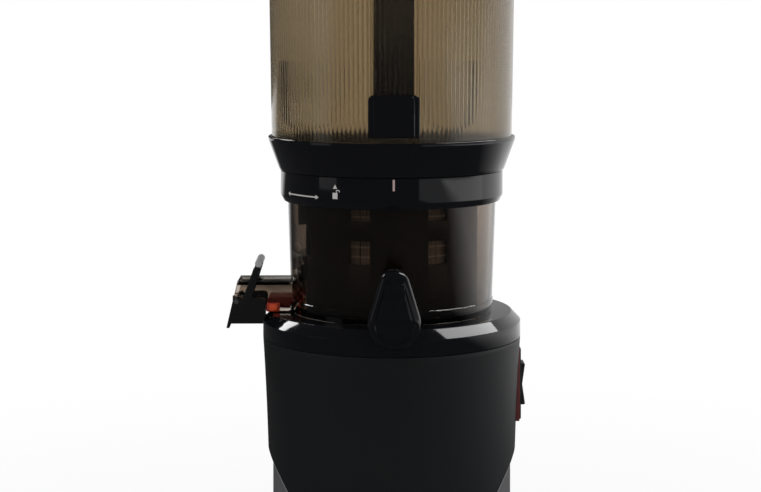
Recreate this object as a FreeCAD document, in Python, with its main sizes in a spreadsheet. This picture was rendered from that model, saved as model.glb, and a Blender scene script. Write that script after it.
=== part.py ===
import FreeCAD, Part

import math
import os

import Sketcher

# A cold press juicer, in millimetres. The origin is on the drive axis at the surface that the
# juicer stands on. +Z is up, the juice spout faces -Y and the pulp outlet points to -X.

Vector = FreeCAD.Vector
doc = FreeCAD.newDocument("ColdPressJuicer")

DIMENSIONS = {
    # Base, from the floor up
    "foot_height": 4.0,
    "foot_inner": 64.0,
    "foot_outer": 71.0,
    "lower_radius": 76.8,
    "lower_wall": 2.2,
    "lower_top": 104.0,
    "cover_thickness": 3.0,
    "shell_wall": 2.2,
    "shell_bottom": 6.0,
    "shell_foot_radius": 79.3,
    "shell_waist_radius": 79.9,
    "shell_waist_height": 99.8,
    "shell_top_radius": 83.3,
    "shell_top": 172.0,
    "arch_radius": 61.0,
    "arch_apex": 100.5,
    "seam_width": 0.8,
    "ring_band_top": 182.2,
    "deck_height": 188.0,
    "deck_radius": 77.5,
    "deck_thickness": 3.0,
    "spigot_radius": 30.0,
    "spigot_height": 3.0,
    "seal_bore_radius": 12.0,
    # Motor and gear train
    "stator_radius": 38.0,
    "rotor_radius": 20.0,
    "stator_bottom": 42.0,
    "stator_top": 82.0,
    "motor_shaft_radius": 4.0,
    "bracket_radius": 48.0,
    "bracket_thickness": 4.0,
    "lower_bracket_height": 28.0,
    "upper_bracket_height": 92.0,
    "motor_post_circle": 43.5,
    "post_radius": 3.0,
    "gear_module": 1.0,
    "pinion_teeth": 15,
    "wheel_teeth": 60,
    "gear_face": 12.0,
    "housing_bottom": 108.0,
    "housing_wall": 5.0,
    "housing_floor": 4.0,
    "housing_top": 158.0,
    "housing_cavity": 32.0,
    "drive_radius": 8.0,
    "hex_flats": 12.0,
    "drive_top": 225.0,
    "running_gap": 0.05,
    # Switch and cord inlet
    "switch_height": 139.9,
    "switch_pivot": 77.5,
    "rocker_half_height": 13.3,
    "rocker_half_width": 6.5,
    "rocker_end": 86.3,
    "rocker_middle": 84.4,
    "bezel_face": 83.2,
    "bezel_bottom": 118.0,
    "bezel_top": 164.0,
    "bezel_half_width": 10.5,
    "cord_height": 25.0,
    "cord_radius": 4.0,
    "gland_radius": 8.0,
    # Juicing drum
    "drum_foot_radius": 64.9,
    "drum_lip_radius": 67.4,
    "drum_lip_height": 259.1,
    "drum_rim_height": 266.0,
    "drum_wall": 2.8,
    "drum_floor": 192.0,
    "hub_radius": 11.0,
    "strainer_radius": 56.0,
    "strainer_wall": 2.0,
    "strainer_top": 264.0,
    "mesh_radius": 52.5,
    "mesh_wall": 1.0,
    "window_width": 13.5,
    "window_count": 7,
    "key_gap": 0.2,
    # Juice spout and its cap
    "spout_height": 199.5,
    "spout_radius": 10.8,
    "spout_bore": 8.6,
    "spout_end": 91.0,
    "cap_face": 96.7,
    "cap_rim": 84.6,
    "cap_wall": 2.0,
    "cap_low_radius": 16.0,
    "cap_low_height": 194.4,
    "cap_high_radius": 9.5,
    "cap_high_height": 216.9,
    "cap_hinge_back": 88.5,
    "cap_hinge_height": 219.0,
    "cap_pin_radius": 1.5,
    # Pulp outlet
    "outlet_half_width": 12.5,
    "outlet_top": 208.1,
    "outlet_bottom": 188.5,
    "outlet_end": 99.3,
    "outlet_wall": 2.2,
    "outlet_roof": 2.9,
    "outlet_lean": 0.229,
    "gate_top": 197.4,
    "gate_bottom": 180.9,
    "gate_drip": 178.1,
    "gate_gap": 0.3,
    "gate_wall": 2.0,
    "gate_inner_end": 81.2,
    "gate_ring_gap": 0.4,
    "gate_pivot_out": 99.9,
    "gate_pivot_height": 195.0,
    "gate_nose_radius": 2.4,
    "gate_pin_radius": 1.5,
    "outlet_ear_radius": 2.6,
    "mouth_inner_end": 84.3,
    "lever_foot_out": 92.64,
    "lever_tip_out": 86.2,
    "lever_tip_height": 216.8,
    "lever_foot_width": 5.6,
    "lever_tip_width": 4.8,
    "grip_radius": 2.4,
    "grip_out": 85.5,
    # Screw and slicing wing
    "screw_bottom": 192.2,
    "screw_base_radius": 46.0,
    "screw_core_low": 28.0,
    "screw_core_high": 17.0,
    "screw_top": 256.0,
    "flight_radius": 49.0,
    "flight_pitch": 26.0,
    "flight_thickness": 4.0,
    "wing_long_radius": 58.0,
    "wing_short_radius": 40.0,
    "wing_top": 349.0,
    # Hopper
    "lock_radius": 72.0,
    "lock_bottom": 259.4,
    "lock_inner": 68.1,
    "collar_bottom": 279.2,
    "collar_low_radius": 72.6,
    "collar_top": 300.8,
    "collar_top_radius": 80.0,
    "neck_radius": 56.5,
    "neck_bottom": 267.0,
    "hopper_foot": 297.0,
    "hopper_foot_radius": 77.7,
    "hopper_rim": 455.0,
    "hopper_rim_radius": 80.4,
    "hopper_wall": 3.0,
    "column_half_width": 12.75,
    "column_front": 73.4,
    "column_back": 66.0,
    "column_wall": 1.7,
    "bracket_half_width": 15.7,
    "bracket_bottom": 304.0,
    "bracket_top": 330.0,
    "bracket_face": 82.5,
    "rod_half_width": 3.0,
    "rod_bottom": 310.0,
    "rod_top": 448.8,
    # Lid
    "lid_top": 471.0,
    "lid_radius": 82.0,
    "lid_opening": 58.0,
    "lid_gap": 0.1,
    "lid_pin_out": 85.5,
    "lid_pin_height": 461.0,
    "lid_pin_radius": 2.0,
}


class Size:
    """A length in millimetres together with the spreadsheet formula that it comes from."""

    def __init__(self, value, formula=None):
        self.value = float(value)
        self.formula = formula or f"{self.value:.6f}"

    def __add__(self, other):
        other = as_size(other)
        return Size(self.value + other.value, f"({self.formula} + {other.formula})")

    def __radd__(self, other):
        return as_size(other) + self

    def __sub__(self, other):
        other = as_size(other)
        return Size(self.value - other.value, f"({self.formula} - {other.formula})")

    def __rsub__(self, other):
        return as_size(other) - self

    def __mul__(self, other):
        other = as_size(other)
        return Size(self.value * other.value, f"({self.formula} * {other.formula})")

    def __rmul__(self, other):
        return as_size(other) * self

    def __truediv__(self, other):
        other = as_size(other)
        return Size(self.value / other.value, f"({self.formula} / {other.formula})")

    def __neg__(self):
        return 0 - self


class Sheet:
    """The spreadsheet of driving dimensions: sheet.name is the Size in the cell of that name."""

    def __init__(self, rows):
        cells = doc.addObject("Spreadsheet::Sheet", "Dimensions")
        for row, (name, value) in enumerate(rows.items(), start=1):
            cells.set(f"A{row}", name)
            cells.set(f"B{row}", str(value))
            cells.setAlias(f"B{row}", name)
            setattr(self, name, Size(value, f"Dimensions.{name}"))


def as_size(value):
    """A Size, from a Size or a plain number."""
    return value if isinstance(value, Size) else Size(value)


d = Sheet(DIMENSIONS)
doc.recompute()
PIECES = {}

TURN_TO = {
    "Z": FreeCAD.Rotation(),
    "X": FreeCAD.Rotation(Vector(0, 1, 0), 90),
    "Y": FreeCAD.Rotation(Vector(1, 0, 0), -90),
}


def piece(label, shape):
    """Name a finished sub-part, which is then written out under that name."""
    shape.Label = label
    PIECES[label] = shape
    return shape


def place(shape, x, y, z, along="Z"):
    """Put a primitive's own origin at x, y, z with its axis along X, Y or Z."""
    x, y, z = as_size(x), as_size(y), as_size(z)
    shape.Placement = FreeCAD.Placement(Vector(x.value, y.value, z.value), TURN_TO[along])
    for letter, size in (("x", x), ("y", y), ("z", z)):
        shape.setExpression(f"Placement.Base.{letter}", size.formula)
    return shape


def cylinder(name, radius, height, x=0, y=0, z=0, along="Z"):
    shape = doc.addObject("Part::Cylinder", name)
    shape.setExpression("Radius", as_size(radius).formula)
    shape.setExpression("Height", as_size(height).formula)
    return place(shape, x, y, z, along)


def cone(name, low_radius, high_radius, height, z=0):
    shape = doc.addObject("Part::Cone", name)
    shape.setExpression("Radius1", as_size(low_radius).formula)
    shape.setExpression("Radius2", as_size(high_radius).formula)
    shape.setExpression("Height", as_size(height).formula)
    return place(shape, 0, 0, z)


def box(name, x, y, z):
    """A block between pairs of limits in X, Y and Z."""
    shape = doc.addObject("Part::Box", name)
    for prop, (low, high) in (("Length", x), ("Width", y), ("Height", z)):
        shape.setExpression(prop, (as_size(high) - low).formula)
    return place(shape, x[0], y[0], z[0])


def tube(name, outer, inner, low, high):
    """An upright ring between two radii and two heights."""
    height = as_size(high) - low
    outside = cylinder(f"{name}_outside", outer, height, z=low)
    inside = cylinder(f"{name}_inside", inner, height, z=low)
    return cut(name, outside, inside)


def fuse(name, *shapes):
    joined = doc.addObject("Part::MultiFuse", name)
    joined.Shapes = list(shapes)
    return joined


def group(name, *shapes):
    """Separate solids that share one node, such as a set of screws."""
    together = doc.addObject("Part::Compound", name)
    together.Links = list(shapes)
    return together


def cut(name, base, *tools):
    result = doc.addObject("Part::Cut", name)
    result.Base = base
    result.Tool = tools[0] if len(tools) == 1 else fuse(f"{name}_tools", *tools)
    return result


def common(name, first, second):
    result = doc.addObject("Part::Common", name)
    result.Base = first
    result.Tool = second
    return result


def origin_feature(body, role):
    return next(item for item in body.Origin.OriginFeatures if item.Role == role)


def new_sketch(body, plane, points, offset=0):
    """A closed outline bound to the sheet. A point with a third item is the middle of an arc."""
    sketch = body.newObject("Sketcher::SketchObject", f"{body.Name}_sketch")
    sketch.AttachmentSupport = (origin_feature(body, plane), [""])
    sketch.MapMode = "FlatFace"
    sketch.setExpression("AttachmentOffset.Base.z", as_size(offset).formula)
    loop = [(as_size(p[0]), as_size(p[1]), len(p) == 3) for p in points]
    ends = []
    starts = []
    formulas = []
    constraints = []

    def hold(geometry, position, u, v):
        for kind, size in (("DistanceX", u), ("DistanceY", v)):
            formulas.append(size.formula)
            constraints.append(Sketcher.Constraint(kind, -1, 1, geometry, position, size.value))

    for i, (u, v, is_middle) in enumerate(loop):
        if is_middle:
            continue
        first = Vector(u.value, v.value, 0)
        middle = loop[(i + 1) % len(loop)]
        if not middle[2]:
            last = Vector(middle[0].value, middle[1].value, 0)
            edge = sketch.addGeometry(Part.LineSegment(first, last), False)
            start, end = 1, 2
        else:
            after = loop[(i + 2) % len(loop)]
            last = Vector(after[0].value, after[1].value, 0)
            via = Vector(middle[0].value, middle[1].value, 0)
            left_turn = (via - first).cross(last - first).z > 0
            start, end = (1, 2) if left_turn else (2, 1)
            arc = Part.Arc(first, via, last) if left_turn else Part.Arc(last, via, first)
            edge = sketch.addGeometry(arc, False)
            dot = sketch.addGeometry(Part.Point(via), True)
            hold(dot, 1, middle[0], middle[1])
            formulas.append(None)
            constraints.append(Sketcher.Constraint("PointOnObject", dot, 1, edge))
        hold(edge, start, u, v)
        starts.append((edge, start))
        ends.append((edge, end))
    for i, (edge, end) in enumerate(ends):
        following, start = starts[(i + 1) % len(starts)]
        formulas.append(None)
        constraints.append(Sketcher.Constraint("Coincident", edge, end, following, start))
    sketch.addConstraint(constraints)
    for i, formula in enumerate(formulas):
        if formula:
            sketch.setExpression(f"Constraints[{i}]", formula)
    return sketch


def revolved(name, points):
    """A body turned about the drive axis from an outline of radius and height."""
    body = doc.addObject("PartDesign::Body", name)
    turn = body.newObject("PartDesign::Revolution", f"{name}_turn")
    turn.Profile = new_sketch(body, "XZ_Plane", points)
    turn.ReferenceAxis = (turn.Profile[0], ["V_Axis"])
    turn.Angle = 360
    return body


def prism(name, plane, points, length, offset=0, symmetric=False):
    """A body raised from an outline. XZ outlines grow towards -Y, YZ to +X and XY to +Z."""
    body = doc.addObject("PartDesign::Body", name)
    pad = body.newObject("PartDesign::Pad", f"{name}_pad")
    pad.Profile = new_sketch(body, plane, points, offset)
    pad.setExpression("Length", as_size(length).formula)
    if symmetric:
        pad.SideType = "Symmetric"
    return body


def repeat(body, feature, count):
    """Repeat a feature of a body evenly about the drive axis."""
    pattern = body.newObject("PartDesign::PolarPattern", f"{feature.Name}_round")
    pattern.Originals = [feature]
    pattern.Axis = (origin_feature(body, "Z_Axis"), [""])
    pattern.Angle = 360
    pattern.setExpression("Occurrences", as_size(count).formula)
    body.Tip = pattern
    return pattern


def slots(body, points, depth, count, plane="XZ_Plane", offset=0):
    """Cut an outline outwards through a wall, evenly repeated about the drive axis."""
    pocket = body.newObject("PartDesign::Pocket", f"{body.Name}_slot")
    pocket.Profile = new_sketch(body, plane, points, offset)
    pocket.setExpression("Length", as_size(depth).formula)
    pocket.Reversed = True
    body.Tip = pocket
    return repeat(body, pocket, count)


def rectangle(u, v):
    """The four corners between two limits each way."""
    return [(u[0], v[0]), (u[1], v[0]), (u[1], v[1]), (u[0], v[1])]


def ring_of(name, count, circle, make, turn=0.0):
    """Copies of an upright shape at even angles round a circle; make(name, x, y) builds one."""
    copies = []
    for i in range(count):
        angle = math.radians(turn + 360.0 * i / count)
        x = circle * math.cos(angle)
        y = circle * math.sin(angle)
        copies.append(make(f"{name}_{i + 1}", x, y))
    return group(name, *copies)


def stadium(name, radius, z, height, reach):
    """An upright plate with one round end on the drive axis and the other at x = -reach."""
    near = cylinder(f"{name}_near", radius, height, z=z)
    far = cylinder(f"{name}_far", radius, height, x=-reach, z=z)
    middle = box(f"{name}_middle", (-reach, 0), (-as_size(radius), radius), (z, z + as_size(height)))
    return fuse(name, near, far, middle)


def shell_radius(height):
    """Outer radius of the base shell at a height above its waist."""
    rise = (as_size(height) - d.shell_waist_height) / (d.shell_top - d.shell_waist_height)
    return d.shell_waist_radius + (d.shell_top_radius - d.shell_waist_radius) * rise


def arch(name, radius):
    """A solid along X whose outline is the round arch that opens each side of the base shell."""
    centre = d.arch_apex - d.arch_radius
    outline = [
        (-radius, -10),
        (radius, -10),
        (radius, centre),
        (0, centre + radius, "middle"),
        (-radius, centre),
    ]
    return prism(name, "YZ_Plane", outline, 200, symmetric=True)


def base_covers():
    """The floor ring, bottom cover, lower body, arched shell, its pale seam and the top ring."""
    piece("foot_ring", tube("foot_ring_tube", d.foot_outer, d.foot_inner, 0, d.foot_height))
    lower_inner = d.lower_radius - d.lower_wall
    cover_top = d.foot_height + d.cover_thickness
    cover = revolved("cover_plate", [
        (0, d.foot_height),
        (lower_inner, d.foot_height),
        (lower_inner, cover_top + 5),
        (lower_inner - 2, cover_top + 5),
        (lower_inner - 2, cover_top),
        (0, cover_top),
    ])
    slots(cover, rectangle((10, 30), (-1.5, 1.5)), 20, 12, "XY_Plane")
    posts = ring_of("cover_post", 4, d.motor_post_circle, lambda name, x, y: cylinder(
        name, d.post_radius + 1.5, d.lower_bracket_height - cover_top, x, y, cover_top), 45)
    screw_holes = ring_of("cover_hole", 4, d.motor_post_circle, lambda name, x, y: cylinder(
        name, 2, d.lower_bracket_height, x, y, 0), 45)
    piece("bottom_cover", cut("bottom_cover_cut", fuse("cover_and_posts", cover, posts), screw_holes))

    lower = revolved("lower_tube", [
        (lower_inner, d.foot_height),
        (d.lower_radius, d.foot_height),
        (d.lower_radius, d.lower_top - 3),
        (d.lower_radius + 0.8, d.lower_top - 3),
        (d.lower_radius + 0.8, d.lower_top),
        (lower_inner, d.lower_top),
    ])
    gland_hole = cylinder("gland_hole", d.gland_radius, 40, 0, 60, d.cord_height, "Y")
    piece("lower_body", cut("lower_body_cut", lower, gland_hole))

    shell = revolved("shell_turned", [
        (d.shell_foot_radius - d.shell_wall, d.shell_bottom),
        (d.shell_foot_radius, d.shell_bottom),
        (d.shell_waist_radius, d.shell_waist_height, "middle"),
        (d.shell_top_radius, d.shell_top),
        (d.shell_top_radius - d.shell_wall, d.shell_top),
        (d.shell_waist_radius - d.shell_wall, d.shell_waist_height, "middle"),
    ])
    bezel_hole = box("bezel_hole", (70, 95), (-d.bezel_half_width - 1, d.bezel_half_width + 1),
                     (d.bezel_bottom - 1, d.bezel_top + 1))
    shell_gland_hole = cylinder("shell_gland_hole", d.gland_radius, 40, 0, 60, d.cord_height, "Y")
    piece("base_shell", cut("base_shell_cut", shell, arch("shell_arch", d.arch_radius), bezel_hole,
                            shell_gland_hole))

    strip = cut("seam_strip", arch("seam_outer_arch", d.arch_radius),
                arch("seam_inner_arch", d.arch_radius - d.seam_width))
    band = tube("seam_band", d.shell_foot_radius - 0.5, d.lower_radius + 0.1, d.shell_bottom, 110)
    piece("seam_trim", common("seam_trim_common", strip, band))

    skirt = d.shell_top_radius - d.shell_wall - 0.5
    piece("top_ring", revolved("top_ring_turned", [
        (d.shell_top_radius, d.shell_top),
        (d.shell_top_radius, d.ring_band_top),
        (d.deck_radius, d.deck_height),
        (d.spigot_radius, d.deck_height),
        (d.spigot_radius, d.deck_height + d.spigot_height),
        (d.seal_bore_radius, d.deck_height + d.spigot_height),
        (d.seal_bore_radius, d.deck_height - d.deck_thickness),
        (d.deck_radius - 1, d.deck_height - d.deck_thickness),
        (skirt - 2, d.ring_band_top - 3),
        (skirt - 2, d.shell_top - 6),
        (skirt, d.shell_top - 6),
        (skirt, d.shell_top),
    ]))
    piece("shaft_seal", tube("shaft_seal_tube", d.seal_bore_radius, d.drive_radius + d.running_gap,
                             d.deck_height - d.deck_thickness, d.deck_height + d.spigot_height))
    piece("base_screws", ring_of("base_screw", 4, d.motor_post_circle, lambda name, x, y: fuse(
        name,
        cylinder(f"{name}_head", 3.5, 2, x, y, 2),
        cylinder(f"{name}_shank", 2, d.lower_bracket_height, x, y, 4)), 45))


def bearing_set(label, outer, inner, heights, thickness, x=0):
    """Plain bearing rings on one upright axis."""
    rings = []
    for i, low in enumerate(heights):
        outside = cylinder(f"{label}_outside_{i}", outer, thickness, x=x, z=low)
        inside = cylinder(f"{label}_inside_{i}", inner, thickness, x=x, z=low)
        rings.append(cut(f"{label}_ring_{i}", outside, inside))
    return piece(label, group(f"{label}_group", *rings))


def motor():
    """The fixed half of the motor: brackets, posts, stator, windings and bearings."""
    lower_bracket = cylinder("lower_bracket_disc", d.bracket_radius, d.bracket_thickness,
                             z=d.lower_bracket_height)
    bore = cylinder("lower_bracket_bore", 9, 20, z=d.lower_bracket_height - 5)
    vents = ring_of("bracket_vent", 6, 26, lambda name, x, y: cylinder(
        name, 8, 20, x, y, d.lower_bracket_height - 5))
    holes = ring_of("bracket_hole", 4, d.motor_post_circle, lambda name, x, y: cylinder(
        name, 2, d.lower_bracket_height + 4 - 20, x, y, 20), 45)
    lower_end = cut("lower_bracket_cut", lower_bracket, bore, vents, holes)
    upper_bracket = cylinder("upper_bracket_disc", d.bracket_radius, d.bracket_thickness,
                             z=d.upper_bracket_height)
    upper_bore = cylinder("upper_bracket_bore", 9, 20, z=d.upper_bracket_height - 5)
    piece("motor_brackets", group("bracket_pair", lower_end, cut("upper_bracket_cut", upper_bracket,
                                                                 upper_bore)))
    bearing_set("motor_bearings", 9, d.motor_shaft_radius + d.running_gap,
                [d.lower_bracket_height, d.upper_bracket_height], d.bracket_thickness)
    post_bottom = d.lower_bracket_height + d.bracket_thickness
    piece("motor_posts", ring_of("motor_post", 4, d.motor_post_circle, lambda name, x, y: cylinder(
        name, d.post_radius, d.upper_bracket_height - post_bottom, x, y, post_bottom), 45))
    piece("motor_stator", tube("stator_tube", d.stator_radius, d.rotor_radius + 0.8,
                               d.stator_bottom, d.stator_top))
    lower_winding = tube("lower_winding", d.stator_radius - 3, d.rotor_radius + 3,
                         d.stator_bottom - 7, d.stator_bottom)
    upper_winding = tube("upper_winding", d.stator_radius - 3, d.rotor_radius + 3,
                         d.stator_top, d.stator_top + 7)
    piece("stator_windings", group("winding_pair", lower_winding, upper_winding))
    piece("gearbox_mounts", ring_of("gearbox_mount", 4, 26, lambda name, x, y: cylinder(
        name, 4, d.housing_bottom - d.upper_bracket_height - d.bracket_thickness, x, y,
        d.upper_bracket_height + d.bracket_thickness), 45))


def rotor():
    """The motor's rotor and its cooling fan, which sit on the shaft."""
    piece("motor_rotor", tube("rotor_tube", d.rotor_radius, d.motor_shaft_radius,
                              d.stator_bottom, d.stator_top))
    fan = revolved("fan_disc", [
        (d.motor_shaft_radius, 14),
        (8, 14),
        (8, 21.5),
        (33, 21.5),
        (33, 23),
        (8, 23),
        (8, 26),
        (d.motor_shaft_radius, 26),
    ])
    blade = fan.newObject("PartDesign::Pad", "fan_blade")
    blade.Profile = new_sketch(fan, "XY_Plane", rectangle((7.5, 32), (-0.7, 0.7)), 14.5)
    blade.Length = 7.5
    fan.Tip = blade
    repeat(fan, blade, 9)
    piece("cooling_fan", fan)


PRESSURE_ANGLE = math.radians(25)
GEAR_PLAY = 0.14


def gear(name, teeth, bore, low, face, centre=0.0, turn=0.0):
    """A spur gear with involute teeth at x = centre; a tooth points along +X plus the turn."""
    module = d.gear_module.value
    pitch = module * teeth / 2
    base = pitch * math.cos(PRESSURE_ANGLE)
    root = pitch - 1.25 * module
    tip = pitch + module
    flat = math.tan(PRESSURE_ANGLE) - PRESSURE_ANGLE
    half_tooth = (math.pi * module / 2 - GEAR_PLAY) / (2 * pitch)

    def flank_angle(radius):
        """Half the tooth's angle at a radius, from the involute function."""
        roll = math.acos(min(1.0, base / radius))
        return half_tooth + flat - (math.tan(roll) - roll)

    start = max(base, root)
    flank = [(start + (tip - start) * step / 3, flank_angle(start + (tip - start) * step / 3))
             for step in range(4)]
    if root < base:
        flank.insert(0, (root, flank_angle(base)))
    outline = []
    for tooth in range(teeth):
        middle = math.radians(turn) + 2 * math.pi * tooth / teeth
        one_side = [(r, middle - angle) for r, angle in flank]
        other_side = [(r, middle + angle) for r, angle in reversed(flank)]
        for radius, angle in one_side + other_side:
            outline.append(Vector(radius * math.cos(angle), radius * math.sin(angle), 0))
    outline.append(outline[0])
    blank = Part.Face(Part.makePolygon(outline)).extrude(Vector(0, 0, as_size(face).value))
    hole = Part.makeCylinder(as_size(bore).value, as_size(face).value)
    wheel = doc.addObject("Part::Feature", f"{name}_teeth")
    wheel.Shape = blank.cut(hole)
    wheel.Placement.Base = Vector(centre, 0, as_size(low).value)
    return wheel


def gear_train():
    """Two pairs of 15 and 60 tooth gears that turn the motor's speed down sixteen times."""
    reach = d.gear_module * (d.pinion_teeth + d.wheel_teeth) / 2
    idler_x = -reach.value
    pinion = int(d.pinion_teeth.value)
    wheel = int(d.wheel_teeth.value)
    first = d.housing_bottom + 8
    second = first + d.gear_face + 6
    shaft = d.motor_shaft_radius
    piece("motor_shaft", fuse(
        "motor_shaft_fuse",
        cylinder("motor_shaft_bar", shaft, 116, z=14),
        gear("motor_pinion", pinion, shaft - 1, first - 1, d.gear_face + 2)))
    piece("idler_wheel", gear("idler_wheel", wheel, shaft, first, d.gear_face, idler_x))
    piece("idler_pinion", fuse(
        "idler_pinion_fuse",
        cylinder("idler_shaft_bar", shaft, 52, x=-reach, z=109),
        gear("idler_pinion", pinion, shaft - 1, second - 1, d.gear_face + 2, idler_x, 12)))
    piece("output_gear", gear("output_gear", wheel, d.drive_radius, second, d.gear_face))

    cavity = d.housing_cavity
    outside = stadium("housing_outside", cavity + d.housing_wall, d.housing_bottom,
                      d.housing_top - d.housing_bottom, reach)
    inside = stadium("housing_inside", cavity, d.housing_bottom + d.housing_floor,
                     d.housing_top - d.housing_bottom, reach)
    motor_hole = cylinder("housing_motor_hole", 6, 20, z=d.housing_bottom - 5)
    idler_hole = cylinder("housing_idler_hole", 7, 20, x=-reach, z=d.housing_bottom - 5)
    piece("gearbox_housing", cut("housing_cut", outside, inside, motor_hole, idler_hole))

    plate = stadium("cover_stadium", cavity + d.housing_wall, d.housing_top, 4, reach)
    boss = cylinder("cover_boss", 18, 22, z=d.housing_top)
    drive_hole = cylinder("cover_drive_hole", 13, 40, z=d.housing_top - 5)
    cover_idler_hole = cylinder("cover_idler_hole", 7, 20, x=-reach, z=d.housing_top - 5)
    piece("gearbox_cover", cut("gearbox_cover_cut", fuse("cover_with_boss", plate, boss), drive_hole,
                               cover_idler_hole))
    bearing_set("output_bearings", 13, d.drive_radius + d.running_gap,
                [d.housing_top, d.housing_top + 14], 8)
    bearing_set("idler_bearings", 7, d.motor_shaft_radius + d.running_gap,
                [d.housing_bottom, d.housing_top], 4, -reach)

    shoulder = d.deck_height + d.spigot_height + 0.2
    journal = cylinder("drive_journal", d.drive_radius, shoulder - 131, z=131)
    hexagon = doc.addObject("Part::Prism", "drive_hexagon")
    hexagon.Polygon = 6
    hexagon.setExpression("Circumradius", (d.hex_flats / math.sqrt(3)).formula)
    hexagon.setExpression("Height", (d.drive_top - shoulder).formula)
    place(hexagon, 0, 0, shoulder)
    piece("drive_shaft", fuse("drive_shaft_fuse", journal, hexagon))


def electrics():
    """Control board, capacitor, rocker switch and the cord's strain relief."""
    cover_top = d.foot_height + d.cover_thickness
    piece("control_board", group(
        "board_and_capacitor",
        box("board_plate", (-24, 24), (54, 55.6), (cover_top, 58)),
        cylinder("capacitor_can", 7, 34, 14, 62.6, 16)))
    half = d.bezel_half_width
    opening_z = (d.switch_height - 15, d.switch_height + 15)
    frame = box("bezel_block", (79.5, d.bezel_face), (-half, half), (d.bezel_bottom, d.bezel_top))
    opening = box("bezel_opening", (70, 95), (-7.2, 7.2), opening_z)
    piece("switch_bezel", cut("bezel_cut", frame, opening))
    ring = box("trim_block", (79.5, d.bezel_face - 0.3), (-half - 1, half + 1),
               (d.bezel_bottom - 1, d.bezel_top + 1))
    hole = box("trim_hole", (70, 95), (-half, half), (d.bezel_bottom, d.bezel_top))
    piece("switch_trim", cut("trim_cut", ring, hole))
    case = box("switch_case_block", (64, 79.5), (-9, 9), (d.switch_height - 17, d.switch_height + 17))
    cavity = box("switch_cavity", (66, 95), (-7.2, 7.2), opening_z)
    piece("switch_case", cut("switch_case_cut", case, cavity))
    low = d.switch_height - d.rocker_half_height
    high = d.switch_height + d.rocker_half_height
    piece("power_rocker", prism("rocker", "XZ_Plane", [
        (d.rocker_end, low),
        (d.rocker_middle, d.switch_height),
        (d.rocker_end, high),
        (d.switch_pivot + 3, high),
        (d.switch_pivot - 4, d.switch_height + 6),
        (d.switch_pivot - 4, d.switch_height - 6),
        (d.switch_pivot + 3, low),
    ], d.rocker_half_width * 2, symmetric=True))
    sleeve = cylinder("gland_sleeve", d.gland_radius, 14, 0, 72, d.cord_height, "Y")
    flange = cylinder("gland_flange", d.gland_radius + 2.5, 3, 0, 81, d.cord_height, "Y")
    gland_bore = cylinder("gland_bore", d.cord_radius, 40, 0, 60, d.cord_height, "Y")
    piece("cord_gland", cut("gland_cut", fuse("gland_body", sleeve, flange), gland_bore))


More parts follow.
